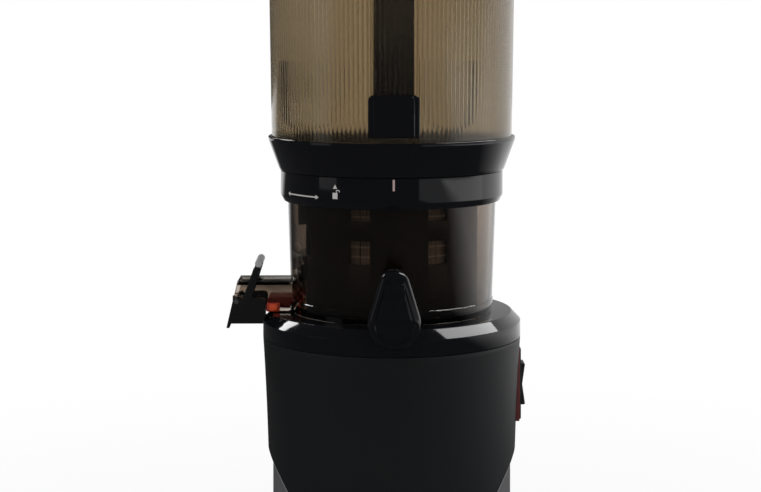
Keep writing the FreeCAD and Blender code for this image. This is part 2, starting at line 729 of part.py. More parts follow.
def drum():
    """The smoked juicing drum with its seal, strainers and juice spout."""
    centre_floor = d.drum_floor + 3
    foot = d.drum_foot_radius - d.drum_wall
    turned = revolved("drum_turned", [
        (d.spigot_radius + 0.3, d.deck_height),
        (d.drum_foot_radius, d.deck_height),
        (d.drum_lip_radius, d.drum_lip_height),
        (d.drum_lip_radius, d.drum_rim_height),
        (d.drum_lip_radius - d.drum_wall, d.drum_rim_height),
        (foot, d.drum_floor),
        (d.spigot_radius + 4, d.drum_floor),
        (d.spigot_radius + 4, centre_floor),
        (d.hub_radius + 2, centre_floor),
        (d.hub_radius + 2, d.deck_height + d.spigot_height + 0.3),
        (d.spigot_radius + 0.3, d.deck_height + d.spigot_height + 0.3),
    ])
    spout_hole = cylinder("drum_spout_hole", d.spout_radius, 30, 0, -60, d.spout_height, "Y")
    spout_hole.Placement.Base.y = -88
    spout_hole.setExpression("Placement.Base.y", "-88")
    outlet_hole = box("drum_outlet_hole", (-80, -50), (-d.outlet_half_width, d.outlet_half_width),
                      (d.drum_floor, d.outlet_top))
    piece("drum_bowl", cut("drum_cut", turned, spout_hole, outlet_hole))
    piece("drum_seal", tube("drum_seal_tube", d.hub_radius + 2, d.hub_radius + d.running_gap,
                            d.deck_height + d.spigot_height + 0.3, centre_floor))

    half_window = d.window_width / 2
    cage = revolved("strainer_turned", [
        (d.strainer_radius - d.strainer_wall, d.drum_floor),
        (d.strainer_radius, d.drum_floor),
        (d.strainer_radius, d.strainer_top),
        (d.strainer_radius - d.strainer_wall, d.strainer_top),
    ])
    for low, high in ((250.5, 259), (223.5, 238)):
        slots(cage, rectangle((-half_window, half_window), (low, high)), 80, d.window_count)
    pulp_way = box("strainer_pulp_way", (-80, -30), (-10.3, 10.3), (d.drum_floor, 203.5))
    piece("strainer_frame", cut("strainer_cut", cage, pulp_way))
    mesh = revolved("mesh_turned", [
        (d.mesh_radius - d.mesh_wall, d.drum_floor),
        (d.mesh_radius, d.drum_floor),
        (d.mesh_radius, d.strainer_top),
        (d.mesh_radius - d.mesh_wall, d.strainer_top),
    ])
    slots(mesh, rectangle((-0.35, 0.35), (207, 258)), 80, 48)
    mesh_pulp_way = box("mesh_pulp_way", (-80, -30), (-10.3, 10.3), (d.drum_floor, 203.5))
    piece("fine_strainer", cut("mesh_cut", mesh, mesh_pulp_way))

    def guide(name, half_angle_width, low, high):
        """A black block between the strainer and the drum's left wall."""
        ring = tube(f"{name}_tube", 61.3, d.strainer_radius, low, high)
        keep = box(f"{name}_keep", (-80, -40), (-half_angle_width, half_angle_width), (low, high))
        return common(name, ring, keep)

    piece("strainer_keys", group("key_pair", guide("upper_key", 14, 243.5, d.strainer_top),
                                 guide("lower_key", 15, d.outlet_top + d.key_gap, 223.4)))

    outside = cylinder("spout_outside", d.spout_radius, d.spout_end - 60, 0, -d.spout_end,
                       d.spout_height, "Y")
    arm = box("spout_arm", (-4, 4), (-d.spout_end, -d.spout_end + 5.5),
              (d.spout_height + 8.7, d.cap_hinge_height))
    knuckle = cylinder("spout_knuckle", 2.9, 8, -4, -d.cap_hinge_back, d.cap_hinge_height, "X")
    bore = cylinder("spout_bore_tool", d.spout_bore, 60, 0, -d.spout_end - 5, d.spout_height, "Y")
    pin_hole = cylinder("spout_pin_hole", d.cap_pin_radius, 20, -10, -d.cap_hinge_back,
                        d.cap_hinge_height, "X")
    piece("juice_spout", cut("spout_cut", fuse("spout_solid", outside, arm, knuckle), bore, pin_hole))
    piece("cap_hinge_pin", cylinder("cap_pin_bar", d.cap_pin_radius, 14, -7, -d.cap_hinge_back,
                                    d.cap_hinge_height, "X"))


def teardrop(name, low_radius, high_radius, front, back):
    """A plate with two round ends, the lower one larger, between two depths in -Y."""
    rise = (d.cap_high_height - d.cap_low_height).value
    tilt = math.asin((low_radius.value - high_radius.value) / rise)
    side = math.cos(tilt)
    lift = math.sin(tilt)
    low = d.cap_low_height
    high = d.cap_high_height
    return prism(name, "XZ_Plane", [
        (low_radius * side, low + low_radius * lift),
        (high_radius * side, high + high_radius * lift),
        (0, high + high_radius, "middle"),
        (-high_radius * side, high + high_radius * lift),
        (-low_radius * side, low + low_radius * lift),
        (0, low - low_radius, "middle"),
    ], as_size(front) - back, back)


def juice_cap():
    """The hinged teardrop cap over the juice spout, with its silicone plug."""
    outer = teardrop("cap_outer", d.cap_low_radius, d.cap_high_radius, d.cap_face, d.cap_rim)
    inner = teardrop("cap_inner", d.cap_low_radius - d.cap_wall, d.cap_high_radius - d.cap_wall,
                     d.cap_face - d.cap_wall, d.cap_rim - 5)
    shell = cut("cap_hollow", outer, inner)
    cheeks = [box(f"cap_cheek_{side}", (low, low + 3.4), (-d.cap_hinge_back - 4, -d.cap_hinge_back + 3),
                  (d.cap_hinge_height - 4, d.cap_hinge_height + 4)) for side, low in (("right", 4.3), ("left", -7.7))]
    holes = cylinder("cap_pin_hole", d.cap_pin_radius + d.running_gap, 14.2, -7.1, -d.cap_hinge_back,
                     d.cap_hinge_height, "X")
    piece("juice_cap", cut("cap_cut", fuse("cap_solid", shell, *cheeks), holes))
    disc = cylinder("cap_seal_disc", 9.6, d.cap_face - d.cap_wall - d.spout_end - 0.2, 0,
                    -d.cap_face + d.cap_wall, d.spout_height - 0.6, "Y")
    plug = cylinder("cap_seal_plug", 8.0, 6, 0, -d.cap_face + d.cap_wall, d.spout_height, "Y")
    piece("cap_seal", fuse("cap_seal_solid", disc, plug))


def lean_at(height):
    """How far out the slanted end of the pulp outlet lies at a height."""
    return d.outlet_end + (d.outlet_top - height) * d.outlet_lean


def pulp_outlet():
    """The smoked pulp outlet on the left of the drum with its seal and pivot pins."""
    half = d.outlet_half_width
    inner = half - d.outlet_wall
    mouth_top = d.gate_top + d.gate_gap
    outside = prism("outlet_outside", "XZ_Plane", [
        (-65.6, d.outlet_bottom),
        (-65.6, d.drum_floor),
        (-57, d.drum_floor),
        (-57, d.outlet_top),
        (-d.outlet_end, d.outlet_top),
        (-lean_at(mouth_top), mouth_top),
        (-d.gate_pivot_out + 3.3, mouth_top),
        (-d.mouth_inner_end - 8, d.outlet_bottom + 2.5),
        (-d.mouth_inner_end, d.outlet_bottom),
    ], half * 2, symmetric=True)
    inside = prism("outlet_inside", "XZ_Plane", [
        (-50, d.drum_floor + 0.5),
        (-50, d.outlet_top - d.outlet_roof),
        (-d.outlet_end + d.outlet_wall, d.outlet_top - d.outlet_roof),
        (-lean_at(mouth_top) + d.outlet_wall, mouth_top),
        (-lean_at(mouth_top) + d.outlet_wall, d.outlet_bottom - 3),
        (-d.mouth_inner_end, d.outlet_bottom - 3),
        (-d.mouth_inner_end, d.drum_floor - 1.5),
        (-65.6, d.drum_floor - 1.5),
        (-65.6, d.drum_floor + 0.5),
    ], inner * 2, symmetric=True)
    ears = []
    for side, low in (("front", -half), ("back", inner)):
        ears.append(cylinder(f"outlet_ear_{side}", d.outlet_ear_radius, d.outlet_wall, -d.gate_pivot_out,
                             low, d.gate_pivot_height, "Y"))
        ears.append(box(f"outlet_ear_root_{side}", (-d.gate_pivot_out - 2.4, -d.gate_pivot_out + 3.3),
                        (low, low + d.outlet_wall), (d.gate_pivot_height, mouth_top + 1)))
    piece("pulp_outlet", fuse("outlet_body", cut("outlet_cut", outside, inside), *ears))
    tab = fuse("pulp_seal_tab",
               box("pulp_seal_tab_plate", (-80.5, -72), (-half - 1.4, -half), (188.4, 194.1)),
               box("pulp_seal_tab_button", (-78.6, -73.5), (-half - 2.4, -half - 1.4), (189.2, 193.4)))
    block = fuse("pulp_seal_block",
                 box("pulp_seal_floor", (-80, -65.6), (-inner, inner), (d.drum_floor - 1.5, 197)),
                 box("pulp_seal_nose", (-66, -61), (-inner, inner), (d.drum_floor + 0.5, 197)))
    piece("pulp_seal", group("pulp_seal_pair", block, tab))
    pin_length = d.gate_wall + d.gate_gap - 0.1
    piece("gate_pivot_pins", group(
        "gate_pin_pair",
        cylinder("gate_pin_front", d.gate_pin_radius, pin_length, -d.gate_pivot_out, -half - pin_length,
                 d.gate_pivot_height, "Y"),
        cylinder("gate_pin_back", d.gate_pin_radius, pin_length, -d.gate_pivot_out, half,
                 d.gate_pivot_height, "Y")))


def pulp_gate():
    """The black scoop that shuts the pulp outlet, with the bail lever that swings it."""
    inner = d.outlet_half_width + d.gate_gap
    outer = inner + d.gate_wall
    wall = d.gate_wall
    axis_height = d.gate_pivot_height
    solid = prism("gate_solid", "XZ_Plane", [
        (-lean_at(axis_height), axis_height),
        (-lean_at(d.gate_drip), d.gate_drip),
        (-lean_at(d.gate_drip) + wall, d.gate_drip),
        (-lean_at(d.gate_bottom) + wall, d.gate_bottom),
        (-d.gate_inner_end, d.gate_bottom),
        (-d.gate_inner_end, d.gate_top),
        (-d.gate_pivot_out, d.gate_top),
    ], outer * 2, symmetric=True)
    hollow = prism("gate_hollow", "XZ_Plane", [
        (-lean_at(d.gate_bottom + wall) + wall, d.gate_bottom + wall),
        (-70, d.gate_bottom + wall),
        (-70, d.gate_top + 1),
        (-110, d.gate_top + 1),
        (-110, axis_height),
        (-lean_at(axis_height) + wall, axis_height),
    ], inner * 2, symmetric=True)
    nose_half = d.outlet_half_width - d.outlet_wall - d.gate_gap
    nose = cylinder("gate_nose", d.gate_nose_radius, nose_half * 2, -d.gate_pivot_out, -nose_half,
                    axis_height, "Y")
    ear_room = [cylinder(f"gate_ear_room_{side}", d.outlet_ear_radius + d.gate_gap, inner - nose_half,
                         -d.gate_pivot_out, low, axis_height, "Y")
                for side, low in (("front", -inner), ("back", nose_half))]
    ring_room = cylinder("gate_ring_room", d.shell_top_radius + d.gate_ring_gap, 14.5, z=170)
    pin_holes = cylinder("gate_pin_holes", d.gate_pin_radius + d.running_gap, outer * 2, -d.gate_pivot_out,
                         -outer, axis_height, "Y")
    scoop = fuse("gate_scoop", cut("gate_cut", solid, hollow, pin_holes), nose)
    piece("pulp_gate", cut("gate_room_cut", scoop, ring_room, *ear_room))

    foot = d.lever_foot_width / 2
    tip = d.lever_tip_width / 2

    def arm(name, offset):
        return prism(name, "XZ_Plane", [
            (-d.lever_foot_out - foot, d.gate_top),
            (-d.lever_foot_out + foot, d.gate_top),
            (-d.lever_tip_out + tip, d.lever_tip_height),
            (-d.lever_tip_out - tip, d.lever_tip_height),
        ], wall, offset)

    piece("gate_lever", group("lever_arms", arm("lever_arm_front", inner), arm("lever_arm_back", -outer)))
    piece("lever_grip", cylinder("lever_grip_bar", d.grip_radius, outer * 2, -d.grip_out, -outer,
                                 d.lever_tip_height + d.grip_radius, "Y"))


def screw():
    """The pressing screw and the slicing wing on top of it."""
    socket_top = d.drive_top + 1
    core = revolved("screw_core", [
        (0, d.screw_bottom),
        (d.hub_radius, d.screw_bottom),
        (d.hub_radius, 196.5),
        (d.screw_base_radius, 196.5),
        (d.screw_base_radius, 199),
        (d.screw_core_low, 201),
        (d.screw_core_high, d.screw_top),
        (0, d.screw_top),
    ])
    socket = doc.addObject("Part::Prism", "screw_socket")
    socket.Polygon = 6
    socket.setExpression("Circumradius", ((d.hex_flats + 0.12) / math.sqrt(3)).formula)
    socket.setExpression("Height", (socket_top - d.screw_bottom + 5).formula)
    place(socket, 0, 0, d.screw_bottom - 5)
    flight = doc.addObject("Part::Feature", "screw_flight")
    low = 204.0
    pitch = d.flight_pitch.value
    outer = d.flight_radius.value
    half = d.flight_thickness.value / 2
    spine = Part.Wire(Part.makeHelix(pitch, 1.6 * pitch, outer))
    blade = Part.makePolygon([
        Vector(14, 0, -half),
        Vector(outer, 0, -half * 0.5),
        Vector(outer, 0, half * 0.5),
        Vector(14, 0, half),
        Vector(14, 0, -half),
    ])
    flight.Shape = spine.makePipeShell([Part.Wire(blade)], True, True)
    flight.Placement.Base = Vector(0, 0, low)
    piece("pressing_screw", cut("screw_cut", fuse("screw_fuse", core, flight), socket))

    hub = cone("wing_hub", d.screw_core_high - 1, 8, 16, z=d.screw_top)

    def blade_arm(name, reach, side):
        """A rising arm and an upright blade on one side of the hub."""
        near = side * 6
        end = side * (reach + 2.5)
        inside = side * (reach - 2.5)
        return prism(name, "XZ_Plane", [
            (near, d.screw_top + 4),
            (side * 40, d.screw_top + 14),
            (end, 303),
            (end, d.wing_top),
            (inside, d.wing_top),
            (inside, 305),
            (side * 32, d.screw_top + 22),
            (near, d.screw_top + 13),
        ], 5, symmetric=True)

    piece("slicing_wing", fuse("wing_fuse", hub, blade_arm("wing_long", d.wing_long_radius, -1),
                               blade_arm("wing_short", d.wing_short_radius, 1)))


def hopper():
    """The tall smoked hopper, its funnel collar and lock ring, and the interlock column."""
    piece("lock_ring", revolved("lock_turned", [
        (d.lock_inner, d.lock_bottom),
        (d.lock_radius - 2, d.lock_bottom),
        (d.lock_radius, d.lock_bottom + 4),
        (d.lock_radius, d.collar_bottom),
        (d.lock_inner, d.collar_bottom),
    ]))
    piece("hopper_collar", revolved("collar_turned", [
        (d.neck_radius, d.neck_bottom),
        (d.lock_inner, d.neck_bottom),
        (d.lock_inner, d.collar_bottom),
        (d.collar_low_radius, d.collar_bottom),
        (d.collar_top_radius, d.collar_top - 2),
        (d.collar_top_radius, d.collar_top),
        (d.hopper_foot_radius + 0.2, d.collar_top),
        (d.hopper_foot_radius + 0.2, d.hopper_foot),
        (d.hopper_foot_radius - 3, d.hopper_foot),
        (70, d.collar_bottom + 3),
        (d.neck_radius, d.neck_bottom + 6),
    ]))
    piece("bowl_gasket", tube("bowl_gasket_tube", d.drum_lip_radius - 0.4, d.drum_lip_radius - 2.6,
                              d.drum_rim_height + 0.1, d.neck_bottom))
    wall = revolved("hopper_turned", [
        (d.hopper_foot_radius - d.hopper_wall, d.hopper_foot),
        (d.hopper_foot_radius, d.hopper_foot),
        (d.hopper_rim_radius, d.hopper_rim),
        (d.hopper_rim_radius - d.hopper_wall, d.hopper_rim),
    ])
    piece("hopper_wall", wall)

    half = d.column_half_width
    side = d.column_wall
    top = d.hopper_rim - 3
    outside = box("column_outside", (-half, half), (-d.column_front, -d.column_back),
                  (d.bracket_bottom, top))
    inside = box("column_inside", (-half + side, half - side),
                 (-d.column_front + side, -d.column_back - side), (d.bracket_bottom + 2, top + 5))
    piece("sensor_column", cut("column_cut", outside, inside))
    block = box("bracket_block", (-d.bracket_half_width, d.bracket_half_width), (-d.bracket_face, -60),
                (d.bracket_bottom, d.bracket_top))
    clear = cylinder("bracket_clear", d.hopper_foot_radius + 0.9, 60, z=d.bracket_bottom - 10)
    piece("column_bracket", cut("bracket_cut", block, clear))

    leaf_y = (d.hopper_rim_radius + 0.6, d.lid_pin_out + 3.5)
    ears = [fuse(f"ear_{name}",
                 box(f"ear_block_{name}", (low, low + 7), leaf_y, (438, d.lid_pin_height)),
                 cylinder(f"ear_round_{name}", 3.5, 7, low, d.lid_pin_out, d.lid_pin_height, "X"))
            for name, low in (("right", 8.2), ("left", -15.2))]
    web = box("ear_web", (-15.2, 15.2), (d.hopper_rim_radius - 1.5, d.hopper_rim_radius + 2), (438, 449))
    trim = cone("ear_trim", d.hopper_foot_radius + 0.05, d.hopper_rim_radius + 0.05,
                d.hopper_rim - d.hopper_foot, z=d.hopper_foot)
    pin_hole = cylinder("ear_pin_hole", d.lid_pin_radius, 40, -20, d.lid_pin_out, d.lid_pin_height, "X")
    piece("hinge_bracket", cut("hinge_bracket_cut", fuse("hinge_solid", web, *ears), trim, pin_hole))
    piece("hinge_pin", cylinder("hinge_pin_bar", d.lid_pin_radius, 30.4, -15.2, d.lid_pin_out,
                                d.lid_pin_height, "X"))
    bar = box("rod_bar", (-d.rod_half_width, d.rod_half_width), (-71, -68.4), (d.rod_bottom, d.rod_top))
    magnet = box("magnet_block", (-6, 6), (-71, -68.4), (d.rod_bottom, d.rod_bottom + 8))
    piece("interlock_rod", fuse("interlock_rod_fuse", bar, magnet))


def lid():
    """The hinged lid with its smoked window, seal and the nib that works the interlock rod."""
    bottom = d.hopper_rim + d.lid_gap
    rim = revolved("lid_turned", [
        (d.lid_opening, d.lid_top - 5),
        (d.lid_opening + 10, bottom),
        (d.lid_radius, bottom),
        (d.lid_radius, d.lid_top - 4),
        (d.lid_radius - 4, d.lid_top),
        (d.lid_opening, d.lid_top),
    ])
    knuckle = cylinder("lid_knuckle", 3.5, 16, -8, d.lid_pin_out, d.lid_pin_height, "X")
    bridge = box("lid_bridge", (-8, 8), (d.lid_radius - 3, d.lid_pin_out), (d.lid_pin_height - 2,
                                                                         d.lid_pin_height + 3.5))
    tab = box("lid_tab", (-12, 12), (-d.lid_radius - 5, -d.lid_radius + 2), (bottom + 1, d.lid_top - 6))
    nib = box("lid_nib", (-4, 4), (-71.5, -68), (d.rod_top + 0.2, bottom + 2))
    pin_hole = cylinder("lid_pin_hole", d.lid_pin_radius + d.running_gap, 40, -20, d.lid_pin_out,
                        d.lid_pin_height, "X")
    ear_room = [box(f"ear_room_{name}", (low, low + 8), (d.lid_pin_out - 6, 95), (450, 470))
                for name, low in (("right", 7.9), ("left", -15.9))]
    piece("lid_frame", cut("lid_cut", fuse("lid_solid", rim, knuckle, bridge, tab, nib), pin_hole,
                           *ear_room))
    piece("lid_window", cylinder("lid_window_disc", d.lid_opening, 3, z=d.lid_top - 4))
    inner = d.hopper_rim_radius - d.hopper_wall
    seal = tube("lid_seal_tube", inner - 0.5, inner - 3, bottom - 2.5, bottom)
    gap = box("lid_seal_gap", (-14, 14), (-90, -60), (440, 460))
    piece("lid_seal", cut("lid_seal_cut", seal, gap))


def write_parts():
    """Check every object of the document, then write each sub-part to its own STEP file."""
    doc.recompute()
    broken = [item.Name for item in doc.Objects if {"Invalid", "Error"} & set(item.State)]
    if broken:
        raise RuntimeError(f"these objects failed: {broken}")
    for label, item in PIECES.items():
        if item.Shape.isNull() or not item.Shape.isValid():
            raise RuntimeError(f"{label} has no valid shape")
    os.makedirs("parts", exist_ok=True)
    for label, item in PIECES.items():
        item.Shape.exportStep(f"parts/{label}.step")
        print(f"{label}: {item.Shape.Volume / 1000:.1f} cm3, {len(item.Shape.Solids)} solids")
    print(f"{len(PIECES)} sub-parts written")


base_covers()
motor()
rotor()
gear_train()
electrics()
drum()
juice_cap()
pulp_outlet()
pulp_gate()
screw()
hopper()
lid()
write_parts()
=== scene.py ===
import math

import bmesh
import bpy
from mathutils import Matrix, Vector


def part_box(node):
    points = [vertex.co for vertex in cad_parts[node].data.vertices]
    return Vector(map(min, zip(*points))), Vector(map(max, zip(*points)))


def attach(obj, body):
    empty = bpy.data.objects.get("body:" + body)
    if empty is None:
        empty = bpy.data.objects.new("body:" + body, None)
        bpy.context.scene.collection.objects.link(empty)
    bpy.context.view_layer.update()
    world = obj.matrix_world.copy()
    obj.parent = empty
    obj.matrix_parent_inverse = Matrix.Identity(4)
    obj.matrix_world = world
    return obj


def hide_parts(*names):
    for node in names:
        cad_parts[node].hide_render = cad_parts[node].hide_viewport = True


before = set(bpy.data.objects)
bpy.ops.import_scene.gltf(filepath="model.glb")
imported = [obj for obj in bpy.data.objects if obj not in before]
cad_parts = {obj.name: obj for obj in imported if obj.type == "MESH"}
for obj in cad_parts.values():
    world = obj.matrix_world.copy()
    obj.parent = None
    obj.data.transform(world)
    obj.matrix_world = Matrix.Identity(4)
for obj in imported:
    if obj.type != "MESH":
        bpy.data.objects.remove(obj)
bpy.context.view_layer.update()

MM = 0.001


# Foot ring and bottom cover.
# A ring of black rubber is pressed under the moulded bottom cover. Both are turned shapes,
# with a fine moulded grain on the rubber and radial vents in the cover.
class Wire:
    """A shader socket that can be written in sums, such as 1 - mask * 0.5."""

    def __init__(self, finish, socket):
        self.finish = finish
        self.socket = socket

    def maths(self, operation, first, second):
        return self.finish.node("ShaderNodeMath", {"operation": operation}, {0: first, 1: second})

    def __add__(self, other):
        return self.maths("ADD", self, other)

    def __radd__(self, other):
        return self.maths("ADD", other, self)

    def __sub__(self, other):
        return self.maths("SUBTRACT", self, other)

    def __rsub__(self, other):
        return self.maths("SUBTRACT", other, self)

    def __mul__(self, other):
        return self.maths("MULTIPLY", self, other)

    def __rmul__(self, other):
        return self.maths("MULTIPLY", other, self)

    def __truediv__(self, other):
        return self.maths("DIVIDE", self, other)


class Finish:
    """A material with one Principled shader; node() adds any other node and returns its output."""

    def __init__(self, name, **sockets):
        self.material = bpy.data.materials.new(name)
        self.material.use_nodes = True
        self.tree = self.material.node_tree
        self.shader = self.tree.nodes["Principled BSDF"]
        for socket, value in sockets.items():
            self.set(socket.replace("_", " "), value)

    def set(self, socket, value):
        """Give a socket of the Principled shader a number, a colour or a link."""
        self.fill(self.shader.inputs[socket], value)

    def fill(self, target, value):
        if isinstance(value, Wire):
            self.tree.links.new(value.socket, target)
        elif isinstance(value, tuple) and len(value) == 3 and len(target.default_value) == 4:
            target.default_value = (*value, 1.0)
        else:
            target.default_value = value

    def node(self, kind, settings=None, inputs=None, output=0):
        added = self.tree.nodes.new(kind)
        for name, value in (settings or {}).items():
            if name == "stops":
                ramp = added.color_ramp
                while len(ramp.elements) < len(value):
                    ramp.elements.new(0.5)
                for element, (position, colour) in zip(ramp.elements, value):
                    element.position = position
                    element.color = (*colour, 1.0) if isinstance(colour, tuple) else (colour,) * 3 + (1.0,)
            else:
                setattr(added, name, value)
        for name, value in (inputs or {}).items():
            self.fill(added.inputs[name], value)
        return Wire(self, added.outputs[output])

    def place(self):
        """Object coordinates, in metres."""
        return self.node("ShaderNodeTexCoord", output="Object")

    def axes(self):
        """X, Y and Z of the object coordinates."""
        parts = self.node("ShaderNodeSeparateXYZ", {}, {"Vector": self.place()})
        return [Wire(self, output) for output in parts.socket.node.outputs]

    def grain(self, scale, detail=3.0, stretch=(1.0, 1.0, 1.0)):
        """Noise of a given scale; stretch widens it along an axis where it is under one."""
        spread = self.node("ShaderNodeMapping", {}, {"Vector": self.place(), "Scale": stretch})
        return self.node("ShaderNodeTexNoise", {}, {"Vector": spread, "Scale": scale, "Detail": detail})

    def spread(self, wire, low, high, out_low, out_high):
        return self.node("ShaderNodeMapRange", {}, {
            "Value": wire, "From Min": low, "From Max": high, "To Min": out_low, "To Max": out_high})

    def bump(self, height, strength, distance=0.0002):
        self.set("Normal", self.node("ShaderNodeBump", {}, {
            "Height": height, "Strength": strength, "Distance": distance}))

    def shade(self, mask, first, second):
        """The base colour runs from the first colour to the second as the mask goes from 0 to 1."""
        self.set("Base Color", self.node("ShaderNodeMix", {"data_type": "RGBA"}, {
            "Factor": mask, "A": first, "B": second}, "Result"))


def moulded(name, dark, light, roughness, grain=900, relief=0.25, **sockets):
    """Moulded plastic or rubber: a fine grain in relief, and a slight drift of colour and sheen."""
    finish = Finish(name, **sockets)
    drift = finish.grain(18)
    finish.shade(drift, dark, light)
    finish.set("Roughness", finish.spread(drift, 0.3, 0.7, roughness - 0.03, roughness + 0.03))
    finish.bump(finish.grain(grain, 2), relief, 0.00012)
    return finish.material


def dress(material, *nodes):
    """Give CAD nodes a finish."""
    for node in nodes:
        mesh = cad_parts[node].data
        mesh.materials.clear()
        mesh.materials.append(material)


def new_piece(name, mesh, material, body, slot, *replaced):
    """Put a finished mesh in the scene, on its body, in place of the CAD nodes it stands for."""
    piece = bpy.data.objects.new(name, mesh)
    bpy.context.scene.collection.objects.link(piece)
    if material:
        mesh.materials.append(material)
    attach(piece, body)
    if replaced:
        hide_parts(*replaced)
    return piece


def smooth(mesh, angle=32):
    mesh.shade_smooth()
    mesh.set_sharp_from_angle(angle=math.radians(angle))
    return mesh


def rounded(outline, steps=5):
    """An outline in mm whose third items are corner radii, with each such corner made an arc."""
    points = []
    for i, corner in enumerate(outline):
        here = Vector(corner[:2])
        radius = corner[2] if len(corner) > 2 else 0
        if not radius:
            points.append(here)
            continue
        before = (Vector(outline[i - 1][:2]) - here).normalized()
        after = (Vector(outline[(i + 1) % len(outline)][:2]) - here).normalized()
        half = before.angle(after) / 2
        reach = radius / math.tan(half)
        centre = here + (before + after).normalized() * radius / math.sin(half)
        first = here + before * reach - centre
        last = here + after * reach - centre
        for step in range(steps + 1):
            mixed = first.lerp(last, step / steps)
            points.append(centre + mixed.normalized() * radius)
    return points


def lathe(name, outline, sides=192, steps=5):
    """A closed outline of radius and height in mm, turned about the drive axis."""
    loop = rounded(outline, steps)
    area = sum(a.x * b.y - b.x * a.y for a, b in zip(loop, loop[1:] + loop[:1]))
    if area < 0:
        loop.reverse()
    shape = bmesh.new()
    rings = []
    for k in range(sides):
        angle = 2 * math.pi * k / sides
        rings.append([shape.verts.new((p.x * math.cos(angle) * MM, p.x * math.sin(angle) * MM, p.y * MM))
                      for p in loop])
    for k in range(sides):
        here, after = rings[k], rings[(k + 1) % sides]
        for i in range(len(loop)):
            j = (i + 1) % len(loop)
            if max(loop[i].x, loop[j].x) > 1e-6:
                shape.faces.new((here[i], after[i], after[j], here[j]))
    bmesh.ops.remove_doubles(shape, verts=shape.verts, dist=1e-7)
    bmesh.ops.dissolve_degenerate(shape, dist=1e-7, edges=shape.edges)
    mesh = bpy.data.meshes.new(name)
    shape.to_mesh(mesh)
    shape.free()
    return smooth(mesh)


FOOT_INNER, FOOT_OUTER, FOOT_HEIGHT = 64.0, 71.0, 4.0
black_rubber = moulded("black_rubber", (0.012, 0.012, 0.012), (0.02, 0.02, 0.02), 0.75, 600, 0.5)
foot = lathe("foot_ring_rubber", [
    (FOOT_INNER, 0, 0.8), (FOOT_OUTER, 0, 0.8), (FOOT_OUTER, FOOT_HEIGHT), (FOOT_INNER, FOOT_HEIGHT)])
new_piece("foot_ring_rubber", foot, black_rubber, "base", "rubber_black", "foot_ring")
dress(black_rubber, "gearbox_mounts")

grey_moulding = moulded("grey_moulding", (0.105, 0.105, 0.11), (0.125, 0.125, 0.13), 0.55, 1100, 0.3)
dress(grey_moulding, "bottom_cover")

# Lower body.
# The lighter grey inner cylinder of the base shows through the arches at the sides. It is one
# moulding with a matt skin, a small radius at its foot and a flange at its top.
LOWER_RADIUS, LOWER_WALL, LOWER_TOP = 76.8, 2.2, 104.0
lower = lathe("lower_body_shell", [
    (LOWER_RADIUS - LOWER_WALL, FOOT_HEIGHT), (LOWER_RADIUS, FOOT_HEIGHT, 1.2),
    (LOWER_RADIUS, LOWER_TOP - 3), (LOWER_RADIUS + 0.8, LOWER_TOP - 3),
    (LOWER_RADIUS + 0.8, LOWER_TOP), (LOWER_RADIUS - LOWER_WALL, LOWER_TOP)])
new_piece("lower_body_shell", lower, grey_moulding, "base", "grey_lower", "lower_body")

# Base shell.
# The charcoal cover widens gently to the top and is cut by a round arch on each side, so that a
# tongue reaches the floor in front and behind. It is moulded with a fine matt texture.
SHELL_BOTTOM, SHELL_TOP, SHELL_WALL = 6.0, 172.0, 2.2
WAIST_HEIGHT, FOOT_RADIUS, WAIST_RADIUS, TOP_RADIUS = 99.8, 79.3, 79.9, 83.3
ARCH_RADIUS, ARCH_APEX = 61.0, 100.5
ARCH_CENTRE = ARCH_APEX - ARCH_RADIUS


def shell_radius(height):
    """The outer radius of the shell: the circle through its foot, waist and top."""
    ends = [Vector((FOOT_RADIUS, SHELL_BOTTOM)), Vector((WAIST_RADIUS, WAIST_HEIGHT)),
            Vector((TOP_RADIUS, SHELL_TOP))]
    value = 0.0
    for i, point in enumerate(ends):
        weight = point.x
        for j, other in enumerate(ends):
            if i != j:
                weight *= (height - other.y) / (point.y - other.y)
        value += weight
    return value


def arch_height(across, radius=ARCH_RADIUS):
    """Height of the arch's edge at a distance across from its middle."""
    return ARCH_CENTRE + math.sqrt(max(0.0, radius ** 2 - across ** 2))


def around(radius, angle, height):
    """A point in metres; the angle runs from +X towards +Y."""
    return (radius * math.cos(angle) * MM, radius * math.sin(angle) * MM, height * MM)


def shell_mesh():
    """A skin of columns that start on the arch's edge, or at the floor on the two tongues."""
    shape = bmesh.new()
    corner = math.asin(ARCH_RADIUS / FOOT_RADIUS)
    arch_steps, tongue_steps, rows, foot_rows = 56, 30, 40, 10
    columns = []
    for side in (0, math.pi):
        for k in range(arch_steps):
            columns.append((side - corner + 2 * corner * k / arch_steps, False))
        for k in range(tongue_steps):
            columns.append((side + corner + (math.pi - 2 * corner) * k / tongue_steps, True))
    grid = []
    feet = []
    for angle, on_tongue in columns:
        across = FOOT_RADIUS * abs(math.sin(angle))
        low = ARCH_CENTRE if on_tongue else arch_height(min(across, ARCH_RADIUS))
        heights = [low + (SHELL_TOP - low) * row / rows for row in range(rows + 1)]
        grid.append([shape.verts.new(around(shell_radius(z), angle, z)) for z in heights])
        feet.append([shape.verts.new(around(shell_radius(z), angle, z)) for z in
                     (SHELL_BOTTOM + (ARCH_CENTRE - SHELL_BOTTOM) * row / foot_rows
                      for row in range(foot_rows))])
    count = len(columns)
    for k in range(count):
        after = (k + 1) % count
        for row in range(rows):
            shape.faces.new((grid[k][row], grid[after][row], grid[after][row + 1], grid[k][row + 1]))
        if columns[k][1]:
            here, there = feet[k] + [grid[k][0]], feet[after] + [grid[after][0]]
            for row in range(foot_rows):
                shape.faces.new((here[row], there[row], there[row + 1], here[row + 1]))
    bmesh.ops.delete(shape, geom=[v for v in shape.verts if not v.link_faces], context="VERTS")
    mesh = bpy.data.meshes.new("base_shell_cover")
    shape.to_mesh(mesh)
    shape.free()
    return smooth(mesh)


